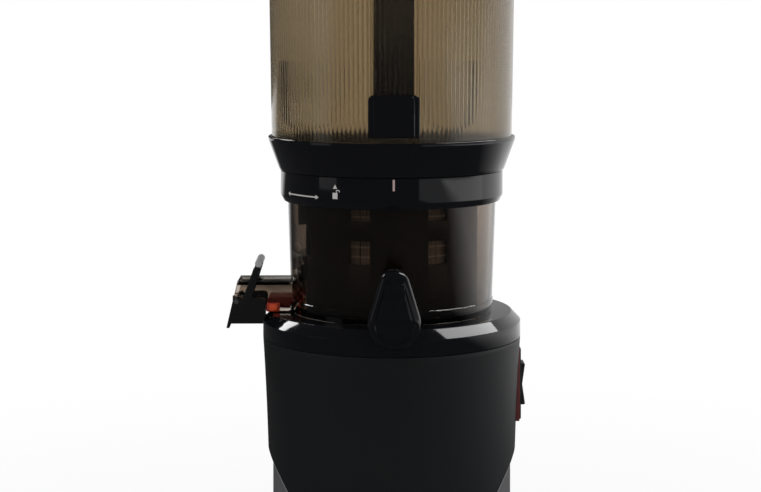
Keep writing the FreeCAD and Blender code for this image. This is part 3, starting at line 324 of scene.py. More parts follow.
def thicken(piece, thickness, offset, bevel=0.0004, sides=2, angle=50):
    """Give a skin its wall and soften the wall's edges, then make the result plain mesh."""
    wall = piece.modifiers.new("wall", "SOLIDIFY")
    wall.thickness = thickness
    wall.offset = offset
    edge = piece.modifiers.new("edge", "BEVEL")
    edge.width = bevel
    edge.segments = sides
    edge.limit_method = "ANGLE"
    edge.angle_limit = math.radians(angle)
    return settle(piece)


def settle(piece):
    """Replace a piece's mesh by what its modifiers make of it."""
    made = bpy.data.meshes.new_from_object(piece.evaluated_get(bpy.context.evaluated_depsgraph_get()))
    old = piece.data
    piece.modifiers.clear()
    piece.data = made
    bpy.data.meshes.remove(old)
    return piece


def loose_piece(name, mesh, material):
    """An object that modifiers can work on before it becomes a piece."""
    piece = bpy.data.objects.new(name, mesh)
    bpy.context.scene.collection.objects.link(piece)
    if material:
        mesh.materials.append(material)
    return piece


def seat(piece, body, slot, *replaced):
    """Hang a finished piece on its body."""
    smooth(piece.data)
    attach(piece, body)
    if replaced:
        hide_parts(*replaced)
    return piece


charcoal_moulding = moulded("charcoal_moulding", (0.008, 0.0095, 0.0115), (0.0105, 0.012, 0.014),
                            0.46, 1400, 0.22)
shell = loose_piece("base_shell_cover", shell_mesh(), charcoal_moulding)
seat(thicken(shell, SHELL_WALL * MM, -1), "base", "charcoal_shell", "base_shell")

# Arch edge highlight.
# A narrow light grey strip lines the edge of each arch. It is a painted highlight that stands in for
# the light caught by the chamfer on the shell's edge. It lies between the shell and the lower body.
HIGHLIGHT_STRIP_WIDTH, HIGHLIGHT_STRIP_DEPTH = 0.8, 2.0


def arch_highlight_mesh():
    """Two strips of square section that follow the arches."""
    shape = bmesh.new()
    for side in (1, -1):
        path = []
        for k in range(8):
            path.append((ARCH_RADIUS, SHELL_BOTTOM + (ARCH_CENTRE - SHELL_BOTTOM) * k / 8))
        for k in range(65):
            turn = math.pi * k / 64
            path.append((ARCH_RADIUS * math.cos(turn), ARCH_CENTRE + ARCH_RADIUS * math.sin(turn)))
        for k in range(7, -1, -1):
            path.append((-ARCH_RADIUS, SHELL_BOTTOM + (ARCH_CENTRE - SHELL_BOTTOM) * k / 8))
        sections = []
        for across, height in path:
            inward = Vector((across, max(0.0, height - ARCH_CENTRE))).normalized() * HIGHLIGHT_STRIP_WIDTH
            section = []
            for width, depth in ((0, -0.35), (1, -0.35), (1, -HIGHLIGHT_STRIP_DEPTH), (0, -HIGHLIGHT_STRIP_DEPTH)):
                y = across - inward.x * width
                z = height - inward.y * width
                radius = shell_radius(z) + depth
                x = math.sqrt(radius ** 2 - y ** 2) * side
                section.append(shape.verts.new((x * MM, y * MM, z * MM)))
            sections.append(section)
        for first, second in zip(sections, sections[1:]):
            for i in range(4):
                shape.faces.new((first[i], first[(i + 1) % 4], second[(i + 1) % 4], second[i]))
        shape.faces.new(sections[0])
        shape.faces.new(sections[-1])
    bmesh.ops.recalc_face_normals(shape, faces=shape.faces)
    mesh = bpy.data.meshes.new("seam_strip")
    shape.to_mesh(mesh)
    shape.free()
    return smooth(mesh)


# Painted highlight: the strip's light grey stands in for the light on the chamfer of the arch's edge.
painted_arch_highlight = moulded("painted_arch_highlight", (0.33, 0.33, 0.33), (0.38, 0.38, 0.38), 0.5)
new_piece("seam_strip", arch_highlight_mesh(), painted_arch_highlight, "base", "pale_seam", "seam_trim")

# Top ring.
# The glossy black shoulder that closes the base: an upright band, a sharp edge, a bevel and the
# flat deck that the drum stands on, moulded in one and polished.
BAND_TOP, DECK, DECK_RADIUS = 182.2, 188.0, 77.5
SPIGOT, SPIGOT_TOP, SEAL_BORE = 30.0, 191.0, 12.0


def polished(name, colour, roughness=0.045, ripple=0.02, **sockets):
    """Glossy moulding: deep colour, a very slight waviness, and fine scuffs in the sheen."""
    finish = Finish(name, Base_Color=colour, **sockets)
    scuff = finish.grain(420, 4, (1.0, 1.0, 0.35))
    finish.set("Roughness", finish.spread(scuff, 0.35, 0.85, roughness, roughness + 0.06))
    finish.bump(finish.grain(26, 1), ripple, 0.001)
    return finish.material


black_gloss = polished("black_gloss", (0.0045, 0.005, 0.0065))
ring = lathe("top_ring_shoulder", [
    (TOP_RADIUS, SHELL_TOP + 0.25, 0.3), (TOP_RADIUS, BAND_TOP, 0.5), (DECK_RADIUS, DECK, 1.6),
    (SPIGOT, DECK, 0.3), (SPIGOT, SPIGOT_TOP, 0.5), (SEAL_BORE, SPIGOT_TOP, 0.3),
    (SEAL_BORE, 185), (DECK_RADIUS - 1, 185), (78.6, 179), (78.6, 166.5), (80.5, 166.5),
    (80.5, SHELL_TOP + 0.25)], 256)
new_piece("top_ring_shoulder", ring, black_gloss, "base", "gloss_black", "top_ring")

# Seals of the drive.
# Grey silicone rings keep juice out of the motor base and close the drum round the screw's hub.
grey_silicone = moulded("grey_silicone", (0.22, 0.22, 0.21), (0.27, 0.27, 0.26), 0.5, 500, 0.1,
                        Subsurface_Weight=0.1, Subsurface_Scale=0.002)
dress(grey_silicone, "shaft_seal", "drum_seal", "bowl_gasket", "lid_seal", "cap_seal")

# Motor and gear train.
# The working parts inside the base: laminated iron and copper in die-cast brackets, cut steel
# gears on ground shafts, bronze bushes and a black gear housing.


def metal(name, colour, roughness, grain=300, stretch=(1.0, 1.0, 0.05), relief=0.15):
    """Machined or cast metal with tool marks drawn round the part."""
    finish = Finish(name, Metallic=1.0)
    marks = finish.grain(grain, 4, stretch)
    finish.shade(marks, tuple(channel * 0.8 for channel in colour), colour)
    finish.set("Roughness", finish.spread(marks, 0.3, 0.7, roughness - 0.06, roughness + 0.08))
    finish.bump(marks, relief, 0.0001)
    return finish.material


turned_steel = metal("turned_steel", (0.55, 0.55, 0.56), 0.3, 500, (1.0, 1.0, 0.02))
laminated_iron = metal("laminated_iron", (0.2, 0.2, 0.21), 0.5, 700, (0.05, 0.05, 3.0), 0.5)
cast_metal = metal("cast_metal", (0.6, 0.6, 0.62), 0.45, 220, (1.0, 1.0, 1.0), 0.3)
copper_wire = metal("copper_wire", (0.65, 0.28, 0.12), 0.35, 900, (0.1, 0.1, 2.0), 0.6)
bush_bronze = metal("bush_bronze", (0.6, 0.43, 0.22), 0.4, 800, (1.0, 1.0, 1.0), 0.3)
satin_black = moulded("satin_black", (0.012, 0.012, 0.013), (0.018, 0.018, 0.019), 0.4, 1000, 0.2)
board_green = moulded("board_green", (0.012, 0.08, 0.03), (0.02, 0.11, 0.04), 0.4, 300, 0.3)
dress(turned_steel, "base_screws", "motor_shaft", "drive_shaft", "hinge_pin", "cap_hinge_pin",
      "gate_pivot_pins", "motor_posts", "idler_pinion", "idler_wheel", "output_gear")
dress(laminated_iron, "motor_stator", "motor_rotor")
dress(cast_metal, "motor_brackets")
dress(copper_wire, "stator_windings")
dress(bush_bronze, "motor_bearings", "output_bearings", "idler_bearings")
dress(satin_black, "cooling_fan", "gearbox_housing", "gearbox_cover", "switch_case",
      "interlock_rod")
dress(board_green, "control_board")

# Rocker switch.
# A black rocker in a black bezel on the right side, framed by a thin red lip. The rocker is a
# shallow V, so that either end stands out when the other is pressed.
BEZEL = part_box("switch_bezel")
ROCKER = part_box("power_rocker")
ROCKER_MIDDLE_X = 84.4


def block(name, low, high, bevel=0.4, sides=3, material=None, holes=()):
    """A box between two corners in mm, with rounded edges and any box-shaped holes."""
    shape = bmesh.new()
    bmesh.ops.create_cube(shape, size=1)
    low, high = Vector(low), Vector(high)
    for vertex in shape.verts:
        for axis in range(3):
            vertex.co[axis] = ((low[axis] + high[axis]) / 2 + vertex.co[axis] * (high[axis] - low[axis])) * MM
    mesh = bpy.data.meshes.new(name)
    shape.to_mesh(mesh)
    shape.free()
    piece = loose_piece(name, mesh, material)
    cutters = [block(f"{name}_hole", *hole, bevel=0) for hole in holes]
    for cutter in cutters:
        cutting(piece, cutter)
    if bevel:
        edge = piece.modifiers.new("edge", "BEVEL")
        edge.width = bevel * MM
        edge.segments = sides
        edge.limit_method = "ANGLE"
    settle(piece)
    for cutter in cutters:
        bpy.data.objects.remove(cutter)
    return piece


def cutting(piece, cutter):
    carve = piece.modifiers.new("carve", "BOOLEAN")
    carve.object = cutter
    carve.operation = "DIFFERENCE"
    carve.solver = "EXACT"


def in_mm(corner):
    return [value / MM for value in corner]


low, high = (in_mm(corner) for corner in BEZEL)
window = ((70, -7.2, 124.9), (95, 7.2, 154.9))
bezel = block("switch_bezel_frame", low, high, 0.8, 3, satin_black, [window])
seat(bezel, "base", "black_plastic", "switch_bezel")
red_lip = moulded("red_lip", (0.14, 0.022, 0.022), (0.18, 0.03, 0.03), 0.35)
lip = block("switch_red_lip", (low[0], low[1] - 1, low[2] - 1), (high[0] - 1.0, high[1] + 1, high[2] + 1),
            0.5, 3, red_lip, [((70, low[1], low[2]), (95, high[1], high[2]))])
seat(lip, "base", "switch_red", "switch_trim")


def prism(name, outline, low, high, across="Y", material=None, bevel=0.4, sides=3, steps=5):
    """An outline in mm, seen along Y or X, drawn out between two depths, with rounded edges."""
    shape = bmesh.new()
    loop = rounded(outline, steps)
    ends = []
    for depth in (low, high):
        if across == "Y":
            ends.append([shape.verts.new((p.x * MM, depth * MM, p.y * MM)) for p in loop])
        else:
            ends.append([shape.verts.new((depth * MM, p.x * MM, p.y * MM)) for p in loop])
    shape.faces.new(ends[0])
    shape.faces.new(ends[1])
    for i in range(len(loop)):
        j = (i + 1) % len(loop)
        shape.faces.new((ends[0][i], ends[0][j], ends[1][j], ends[1][i]))
    bmesh.ops.recalc_face_normals(shape, faces=shape.faces)
    mesh = bpy.data.meshes.new(name)
    shape.to_mesh(mesh)
    shape.free()
    piece = loose_piece(name, mesh, material)
    if bevel:
        edge = piece.modifiers.new("edge", "BEVEL")
        edge.width = bevel * MM
        edge.segments = sides
        edge.limit_method = "ANGLE"
        edge.angle_limit = math.radians(35)
    return settle(piece)


r_low, r_high = (in_mm(corner) for corner in ROCKER)
middle = (r_low[2] + r_high[2]) / 2
rocker = prism("rocker_key", [
    (r_high[0], r_low[2], 0.8), (ROCKER_MIDDLE_X, middle, 4), (r_high[0], r_high[2], 0.8),
    (r_low[0] + 7, r_high[2]), (r_low[0], middle + 6), (r_low[0], middle - 6),
    (r_low[0] + 7, r_low[2])], r_low[1], r_high[1], "Y", satin_black, 0.5)
seat(rocker, "rocker", "black_plastic", "power_rocker")

# Cord inlet.
# A black rubber strain relief stands out of the back of the shell near the floor. Its flange
# clips against the shell.
GLAND_HEIGHT = 25.0


def turned_along_y(name, outline, height, centre_x=0.0, sides=64):
    """An outline of radius and Y in mm, turned about an axis along Y at a height."""
    mesh = lathe(name, outline, sides)
    centre = Matrix.Translation((centre_x * MM, 0, height * MM))
    mesh.transform(centre @ Matrix.Rotation(-math.pi / 2, 4, "X"))
    return mesh


inlet = turned_along_y("cord_strain_relief", [
    (4, 72), (8, 72), (8, 81), (10.5, 81, 0.6), (10.5, 84, 0.8), (6.5, 84, 1.0), (5.4, 86, 0.5),
    (4, 86)], GLAND_HEIGHT)
new_piece("cord_strain_relief", inlet, black_rubber, "base", "black_plastic", "cord_gland")

# Juicing drum.
# A tapering bowl of smoked clear plastic with a thick band at its foot. Holes let in the juice
# spout in front and the pulp outlet on the left; the guide ribs inside its wall are not drawn.
DRUM_FOOT, DRUM_LIP, DRUM_FLOOR = 64.9, 67.4, 192.0
DRUM_LIP_HEIGHT, DRUM_RIM, DRUM_WALL = 259.1, 266.0, 2.8
SPOUT_HEIGHT, SPOUT_RADIUS, SPOUT_BORE, SPOUT_END = 199.5, 10.8, 8.6, 91.0
OUTLET_HALF, OUTLET_TOP = 12.5, 208.1


def clear(name, tint, roughness=0.03, ior=1.49, ripple=0.03, scale=30):
    """Tinted clear plastic; the tint is taken twice, once by each wall that light passes."""
    finish = Finish(name, Transmission_Weight=1.0, IOR=ior)
    drift = finish.grain(scale, 2)
    finish.shade(drift, tuple(channel * 0.96 for channel in tint), tint)
    finish.set("Roughness", finish.spread(finish.grain(240, 3), 0.4, 0.8, roughness, roughness + 0.03))
    finish.bump(finish.grain(scale * 1.4, 1), ripple, 0.001)
    return finish.material


def rod_along(name, axis, radius, low, high, centre, sides=96):
    """A plain cylinder that cuts holes; centre gives the other two coordinates in mm."""
    mesh = bpy.data.meshes.new(name)
    shape = bmesh.new()
    bmesh.ops.create_cone(shape, cap_ends=True, segments=sides, radius1=radius * MM,
                          radius2=radius * MM, depth=(high - low) * MM)
    turn = {"X": Matrix.Rotation(math.pi / 2, 4, "Y"), "Y": Matrix.Rotation(math.pi / 2, 4, "X"),
            "Z": Matrix.Identity(4)}[axis]
    middle = (low + high) / 2
    spot = {"X": (middle, *centre), "Y": (centre[0], middle, centre[1]), "Z": (*centre, middle)}[axis]
    bmesh.ops.transform(shape, matrix=Matrix.Translation(Vector(spot) * MM) @ turn, verts=shape.verts)
    shape.to_mesh(mesh)
    shape.free()
    return loose_piece(name, mesh, None)


def carved(piece, *cutters):
    """Cut holes in a piece and drop the cutters."""
    for cutter in cutters:
        cutting(piece, cutter)
    settle(piece)
    for cutter in cutters:
        bpy.data.objects.remove(cutter)
    return piece


smoked_drum = clear("smoked_drum_plastic", (0.44, 0.375, 0.32), 0.03)
drum = loose_piece("drum_bowl_clear", lathe("drum_bowl_clear", [
    (30.3, 188), (DRUM_FOOT + 0.4, 188, 0.5), (DRUM_FOOT + 0.62, 196.2, 0.3), (DRUM_FOOT + 0.2, 196.6),
    (DRUM_LIP, DRUM_LIP_HEIGHT, 0.5), (DRUM_LIP, DRUM_RIM, 0.6), (DRUM_LIP - DRUM_WALL, DRUM_RIM, 0.6),
    (DRUM_FOOT - DRUM_WALL, DRUM_FLOOR, 1.5), (34, DRUM_FLOOR, 1.0), (34, 195, 0.5), (13, 195, 0.4),
    (13, 191.3), (30.3, 191.3)], 256), smoked_drum)
carved(drum, rod_along("spout_hole", "Y", SPOUT_RADIUS, -80, -50, (0, SPOUT_HEIGHT)),
       block("outlet_hole", (-80, -OUTLET_HALF, DRUM_FLOOR), (-50, OUTLET_HALF, OUTLET_TOP), 0))
seat(drum, "drum", "smoked_drum", "drum_bowl")

# Strainer.
# A black cage with rows of windows holds a sheet of finely slotted metal. Two black blocks on
# its left key it to the drum.
STRAINER_RADIUS, STRAINER_WALL, STRAINER_TOP, WINDOWS = 56.0, 2.0, 264.0, 7
WINDOW_ROWS = ((250.5, 259), (223.5, 238))
WINDOW_TURN, PULP_WAY_TOP = 94.0, 203.5


def cage_mesh():
    """The cage's skin on a grid of angles and heights, without the cells at the windows."""
    half = math.degrees(6.75 / STRAINER_RADIUS)
    angles = sorted({round((WINDOW_TURN + 360 / WINDOWS * k + side * half) % 360, 4)
                     for k in range(WINDOWS) for side in (1, -1)}
                    | {round(360 / 140 * k, 4) for k in range(140)})
    heights = sorted({DRUM_FLOOR, PULP_WAY_TOP, STRAINER_TOP} | {z for row in WINDOW_ROWS for z in row})
    shape = bmesh.new()
    grid = [[shape.verts.new(around(STRAINER_RADIUS, math.radians(a), z)) for z in heights] for a in angles]
    for i, angle in enumerate(angles):
        after = (i + 1) % len(angles)
        middle = (angle + (angles[after] if after else 360)) / 2
        step = 360 / WINDOWS
        off = abs((middle - WINDOW_TURN + step / 2) % step - step / 2)
        for j in range(len(heights) - 1):
            in_row = (heights[j], heights[j + 1]) in WINDOW_ROWS
            at_outlet = abs(middle - 180) < 10.6 and heights[j + 1] <= PULP_WAY_TOP
            if not (in_row and off < half) and not at_outlet:
                shape.faces.new((grid[i][j], grid[after][j], grid[after][j + 1], grid[i][j + 1]))
    mesh = bpy.data.meshes.new("strainer_cage")
    shape.to_mesh(mesh)
    shape.free()
    return mesh


cage_black = moulded("cage_black", (0.018, 0.016, 0.015), (0.026, 0.023, 0.021), 0.4, 800, 0.2)
cage = loose_piece("strainer_cage", cage_mesh(), cage_black)
seat(thicken(cage, STRAINER_WALL * MM, -1, 0.0004, 2, 60), "drum", "black_plastic", "strainer_frame")
dress(cage_black, "strainer_keys")


def slotted(name, colour, pitch, roughness):
    """Thin metal with fine upright slots, drawn as dark lines by the angle round the axis."""
    finish = Finish(name, Metallic=0.3)
    x, y, z = finish.axes()
    turn = x.maths("ARCTAN2", y, x)
    count = round(2 * math.pi * 52.5 / pitch)
    wave = x.maths("SINE", turn * float(count), 0.0)
    rows = x.maths("SINE", z * (2 * math.pi / 0.0062), 0.0)
    lines = finish.spread(wave, -0.2, 0.5, 0.0, 1.0)
    bars = finish.spread(rows, -0.9, -0.75, 0.0, 1.0)
    mask = 1 - (1 - lines) * bars
    finish.shade(mask, tuple(channel * 0.3 for channel in colour), colour)
    finish.set("Roughness", finish.spread(mask, 0.0, 1.0, 0.7, roughness))
    finish.bump(mask, 0.6, 0.0003)
    return finish.material


slotted_sheet = slotted("slotted_sheet", (0.8, 0.68, 0.58), 0.9, 0.38)
dress(slotted_sheet, "fine_strainer")

# Pressing screw and slicing wing.
# One dark grained plastic auger with a wing on top that catches and slices food as it turns.
screw_plastic = moulded("screw_plastic", (0.03, 0.028, 0.027), (0.042, 0.038, 0.036), 0.42, 500, 0.35)
dress(screw_plastic, "pressing_screw", "slicing_wing")

# Juice spout.
# A round tube of the drum's smoked plastic with a short arm on top that carries the cap's hinge.
spout = loose_piece("juice_spout_tube", turned_along_y("juice_spout_tube", [
    (SPOUT_BORE, -SPOUT_END, 0.5), (SPOUT_RADIUS, -SPOUT_END, 0.5), (SPOUT_RADIUS, -60),
    (SPOUT_BORE, -60)], SPOUT_HEIGHT, sides=96), smoked_drum)
seat(spout, "drum", "smoked_drum")
hinge_arm = prism("juice_spout_arm", [
    (-4, SPOUT_HEIGHT + 9.6), (4, SPOUT_HEIGHT + 9.6), (4, 221.5), (-4, 221.5)],
    -SPOUT_END + 0.1, -SPOUT_END + 5.4, "Y", smoked_drum, 0.8)
carved(hinge_arm, rod_along("arm_hole", "X", 1.5, -10, 10, (-88.5, 219)))
seat(hinge_arm, "drum", "smoked_drum", "juice_spout")

# Juice cap.
# A glossy black teardrop cap, domed towards its edge, with a thumb tab that flares downward from
# its middle, a ledge under it and a scooped recess at the bottom.
CAP_FACE, CAP_REAR = 96.7, 84.6
CAP_LOW, CAP_LOW_RADIUS, CAP_HIGH, CAP_HIGH_RADIUS = 194.4, 16.0, 216.9, 9.5


def teardrop(inset, steps=72):
    """The cap's outline, inset by an amount, as points with x and height in mm."""
    low, high = CAP_LOW_RADIUS - inset, CAP_HIGH_RADIUS - inset
    tilt = math.asin((low - high) / (CAP_HIGH - CAP_LOW))
    points = []
    for k in range(steps // 2):
        turn = tilt + (math.pi - 2 * tilt) * k / (steps // 2 - 1)
        points.append((high * math.cos(turn), CAP_HIGH + high * math.sin(turn)))
    for k in range(steps // 2):
        turn = math.pi - tilt + (math.pi + 2 * tilt) * k / (steps // 2 - 1)
        points.append((low * math.cos(turn), CAP_LOW + low * math.sin(turn)))
    return points


def cap_mesh():
    """Rings of the outline from the hollow's edge round the rim and over the face."""
    profile = [(3.6, CAP_FACE - 3.2), (2.0, CAP_REAR + 4), (2.0, CAP_REAR + 0.5), (1.6, CAP_REAR),
               (0.5, CAP_REAR), (0.1, CAP_REAR + 0.5), (0, CAP_REAR + 2), (0, CAP_FACE - 5.2),
               (0.15, CAP_FACE - 3.9), (0.7, CAP_FACE - 2.6), (1.7, CAP_FACE - 1.5), (2.9, CAP_FACE - 0.9),
               (4.0, CAP_FACE - 0.7), (4.6, CAP_FACE - 1.1), (5.2, CAP_FACE - 0.9), (6.4, CAP_FACE - 0.55),
               (7.6, CAP_FACE - 0.4)]
    shape = bmesh.new()
    rings = [[shape.verts.new((x * MM, -depth * MM, z * MM)) for x, z in teardrop(inset)]
             for inset, depth in profile]
    for first, second in zip(rings, rings[1:]):
        for i in range(len(first)):
            j = (i + 1) % len(first)
            shape.faces.new((first[i], first[j], second[j], second[i]))
    shape.faces.new(rings[0])
    shape.faces.new(rings[-1])
    bmesh.ops.remove_doubles(shape, verts=shape.verts, dist=1e-7)
    bmesh.ops.recalc_face_normals(shape, faces=shape.faces)
    mesh = bpy.data.meshes.new("juice_cap_dome")
    shape.to_mesh(mesh)
    shape.free()
    return mesh


RECESS_RADIUS, RECESS_HEIGHT, LEDGE, THUMB_BEND, THUMB_TOP = 11.8, 194.0, 196.8, 210.9, 218.6
THUMB_NARROW, THUMB_WIDE = 6.1, 9.8
cap = loose_piece("juice_cap_dome", cap_mesh(), black_gloss)
scoop = turned_along_y("cap_scoop", [
    (0, -CAP_FACE - 3), (RECESS_RADIUS, -CAP_FACE - 3), (RECESS_RADIUS, -CAP_FACE + 1.3, 0.8),
    (0, -CAP_FACE + 1.5)], RECESS_HEIGHT, sides=96)
scoop_tool = loose_piece("cap_scoop", scoop, None)
carved(scoop_tool, block("scoop_ledge", (-20, -110, LEDGE), (20, -80, 215), 0))
carved(cap, scoop_tool)
seat(cap, "juice_cap", "gloss_black", "juice_cap")
thumb_top = prism("juice_cap_thumb_top", [
    (-THUMB_NARROW, THUMB_BEND), (THUMB_NARROW, THUMB_BEND), (THUMB_NARROW, THUMB_TOP, 2.0),
    (-THUMB_NARROW, THUMB_TOP, 2.0)], -CAP_FACE, -CAP_FACE + 1.6, "Y", black_gloss, 0.4)
seat(thumb_top, "juice_cap", "gloss_black")
thumb = prism("juice_cap_thumb", [
    (-THUMB_NARROW, THUMB_BEND), (THUMB_NARROW, THUMB_BEND), (THUMB_WIDE, LEDGE + 0.2, 0.6),
    (5, LEDGE - 0.4), (0, LEDGE - 0.7), (-5, LEDGE - 0.4), (-THUMB_WIDE, LEDGE + 0.2, 0.6)],
    -CAP_FACE, -CAP_FACE + 1.6, "Y", black_gloss, 0.4)
seat(thumb, "juice_cap", "gloss_black")
RIM_OUTER, RIM_INNER, RIM_STEPS = 12.5, 11.6, 40
sweep = [math.pi * (1 + k / RIM_STEPS) for k in range(RIM_STEPS + 1)]
rim_outline = [(RIM_OUTER * math.cos(turn), RECESS_HEIGHT + RIM_OUTER * math.sin(turn)) for turn in sweep]
rim_outline += [(RIM_INNER * math.cos(turn), RECESS_HEIGHT + RIM_INNER * math.sin(turn))
                for turn in reversed(sweep)]
rim = prism("juice_cap_rim", rim_outline, -CAP_FACE + 0.1, -CAP_FACE + 1.6, "Y", black_gloss, 0.3)
seat(rim, "juice_cap", "gloss_black")
for side in (1, -1):
    cheek = block(f"juice_cap_cheek_{'right' if side > 0 else 'left'}",
                  (min(side * 4.4, side * 7.6), -92, 215.2), (max(side * 4.4, side * 7.6), -85.6, 222.8),
                  0.6, 3, black_gloss)
    carved(cheek, rod_along("cheek_hole", "X", 1.55, -10, 10, (-88.5, 219)))
    seat(cheek, "juice_cap", "gloss_black")

# Pulp outlet.
# A flattened duct of smoked plastic slants out of the drum on the left. An orange silicone block
# in its floor lets pulp squeeze past, and its tab hangs out in front.
OUTLET_END, OUTLET_LEAN, OUTLET_BOTTOM, OUTLET_WALL, OUTLET_ROOF = 99.3, 0.229, 188.5, 2.2, 2.9
MOUTH_TOP, MOUTH_INNER = 197.7, 84.3
PIVOT_X, PIVOT_Z = -99.9, 195.0


def lean(height):
    """How far out the duct's slanted end lies at a height."""
    return OUTLET_END + (OUTLET_TOP - height) * OUTLET_LEAN


duct = prism("pulp_outlet_duct", [
    (-65.4, OUTLET_BOTTOM), (-65.4, DRUM_FLOOR), (-57, DRUM_FLOOR), (-57, OUTLET_TOP),
    (-OUTLET_END, OUTLET_TOP, 1.6), (-lean(MOUTH_TOP), MOUTH_TOP), (PIVOT_X + 3.3, MOUTH_TOP),
    (-MOUTH_INNER - 8, OUTLET_BOTTOM + 2.5), (-MOUTH_INNER, OUTLET_BOTTOM)],
    -OUTLET_HALF, OUTLET_HALF, "Y", smoked_drum, 1.2, 4)
carved(duct, prism("duct_inside", [
    (-50, DRUM_FLOOR + 0.5), (-50, OUTLET_TOP - OUTLET_ROOF),
    (-OUTLET_END + OUTLET_WALL, OUTLET_TOP - OUTLET_ROOF, 1), (-lean(MOUTH_TOP) + OUTLET_WALL, MOUTH_TOP),
    (-lean(MOUTH_TOP) + OUTLET_WALL, OUTLET_BOTTOM - 3), (-MOUTH_INNER, OUTLET_BOTTOM - 3),
    (-MOUTH_INNER, DRUM_FLOOR - 1.5), (-65.6, DRUM_FLOOR - 1.5), (-65.6, DRUM_FLOOR + 0.5)],
    -OUTLET_HALF + OUTLET_WALL, OUTLET_HALF - OUTLET_WALL, "Y", None, 0))
seat(duct, "drum", "smoked_drum", "pulp_outlet")
for name, low in (("front", -OUTLET_HALF), ("back", OUTLET_HALF - OUTLET_WALL)):
    ear = prism(f"pulp_outlet_ear_{name}", [
        (PIVOT_X - 2.4, MOUTH_TOP + 0.8), (PIVOT_X + 3.3, MOUTH_TOP + 0.8),
        (PIVOT_X + 2.4, PIVOT_Z - 2.6, 2.2), (PIVOT_X - 2.4, PIVOT_Z - 2.6, 2.2)],
        low, low + OUTLET_WALL, "Y", smoked_drum, 0.2)
    seat(ear, "drum", "smoked_drum")
roof_black = moulded("roof_black", (0.008, 0.007, 0.007), (0.012, 0.01, 0.01), 0.2, 900, 0.1)
for name, low in (("front", -OUTLET_HALF), ("back", OUTLET_HALF - 0.6)):
    edge = prism(f"pulp_outlet_edge_{name}", [
        (-OUTLET_END - 0.5, 205.3), (-66, 205.3), (-66, 207.6), (-OUTLET_END + 1.2, 207.6)],
        low, low + 0.6, "Y", roof_black, 0.15)
    seat(edge, "drum", "smoked_drum")

orange_silicone = moulded("orange_silicone", (0.75, 0.075, 0.012), (0.85, 0.1, 0.016), 0.42, 400, 0.1,
                          Subsurface_Weight=0.15, Subsurface_Scale=0.002)
# Painted shade: the plug, its nose and the plate take a darker copy of the orange silicone, for the shade in
# and around the duct.
orange_in_painted_shade = moulded("orange_silicone_in_painted_shade", (0.42, 0.035, 0.012), (0.5, 0.045, 0.014), 0.5, 400, 0.1)
PLUG_HALF = OUTLET_HALF - OUTLET_WALL - 0.05
plug = block("pulp_plug", (-80, -PLUG_HALF, DRUM_FLOOR - 1.45), (-65.7, PLUG_HALF, 197), 1.2, 4, orange_in_painted_shade)
seat(plug, "drum", "orange_silicone")
nose = block("pulp_plug_nose", (-68, -PLUG_HALF, DRUM_FLOOR + 0.55), (-61, PLUG_HALF, 196.9), 1.2, 4,
             orange_in_painted_shade)
seat(nose, "drum", "orange_silicone")
plate = block("pulp_plug_plate", (-80.5, -OUTLET_HALF - 1.4, 188.4), (-72, -OUTLET_HALF + 0.1, 194.1), 0.6, 3,
              orange_in_painted_shade)
seat(plate, "drum", "orange_silicone")
tab = prism("pulp_plug_tab", [
    (-78.6, 189.2, 1.2), (-73.5, 189.2, 1.2), (-73.5, 193.4, 1.2), (-78.6, 193.4, 1.2)],
    -OUTLET_HALF - 2.4, -OUTLET_HALF - 1.2, "Y", orange_silicone, 0.5)
seat(tab, "drum", "orange_silicone", "pulp_seal")

# Pulp gate and lever.
# A black scoop hangs on pins at the end of the duct and shuts it from below. A bail lever with a
# light grey bar across its top swings it open.
GATE_HALF_INNER, GATE_WALL = 12.8, 2.0
GATE_OUTER = GATE_HALF_INNER + GATE_WALL
GATE_TOP, GATE_BOTTOM, GATE_DRIP, GATE_INNER = 197.4, 180.9, 178.1, 81.2
RING_ROOM, RING_ROOM_TOP, EAR_ROOM = 83.7, 184.5, 2.9
NOSE_RADIUS, NOSE_HALF = 2.4, 10.0
gate_black = moulded("gate_black", (0.008, 0.008, 0.009), (0.012, 0.012, 0.013), 0.22, 900, 0.1)
gate = prism("pulp_gate_scoop", [
    (-lean(PIVOT_Z), PIVOT_Z, 0.8), (-lean(GATE_DRIP), GATE_DRIP, 0.4),
    (-lean(GATE_DRIP) + GATE_WALL, GATE_DRIP, 0.4), (-lean(GATE_BOTTOM) + GATE_WALL, GATE_BOTTOM),
    (-GATE_INNER, GATE_BOTTOM, 0.8), (-GATE_INNER, GATE_TOP, 2.6), (PIVOT_X, GATE_TOP, 1.0)],
    -GATE_OUTER, GATE_OUTER, "Y", gate_black, 0.4)
carved(gate, prism("gate_room", [
    (-lean(GATE_BOTTOM + GATE_WALL) + GATE_WALL, GATE_BOTTOM + GATE_WALL), (-70, GATE_BOTTOM + GATE_WALL),
    (-70, GATE_TOP + 1), (-110, GATE_TOP + 1), (-110, PIVOT_Z), (-lean(PIVOT_Z) + GATE_WALL, PIVOT_Z)],
    -GATE_HALF_INNER, GATE_HALF_INNER, "Y", None, 0),
    rod_along("gate_holes", "Y", 1.55, -20, 20, (PIVOT_X, PIVOT_Z)),
    rod_along("ring_room", "Z", RING_ROOM, 170, RING_ROOM_TOP, (0, 0), 192),
    rod_along("ear_room_front", "Y", EAR_ROOM, -GATE_HALF_INNER, -NOSE_HALF, (PIVOT_X, PIVOT_Z)),
    rod_along("ear_room_back", "Y", EAR_ROOM, NOSE_HALF, GATE_HALF_INNER, (PIVOT_X, PIVOT_Z)))
seat(gate, "pulp_gate", "black_plastic", "pulp_gate")
gate_nose = turned_along_y("pulp_gate_nose", [
    (0, -NOSE_HALF), (NOSE_RADIUS, -NOSE_HALF, 0.3), (NOSE_RADIUS, NOSE_HALF, 0.3), (0, NOSE_HALF)],
    PIVOT_Z, PIVOT_X, 48)
new_piece("pulp_gate_nose", gate_nose, gate_black, "pulp_gate", "black_plastic")
FOOT_X, TIP_X, TIP_Z, ARM_END = -92.64, -86.2, 216.8, 192.0
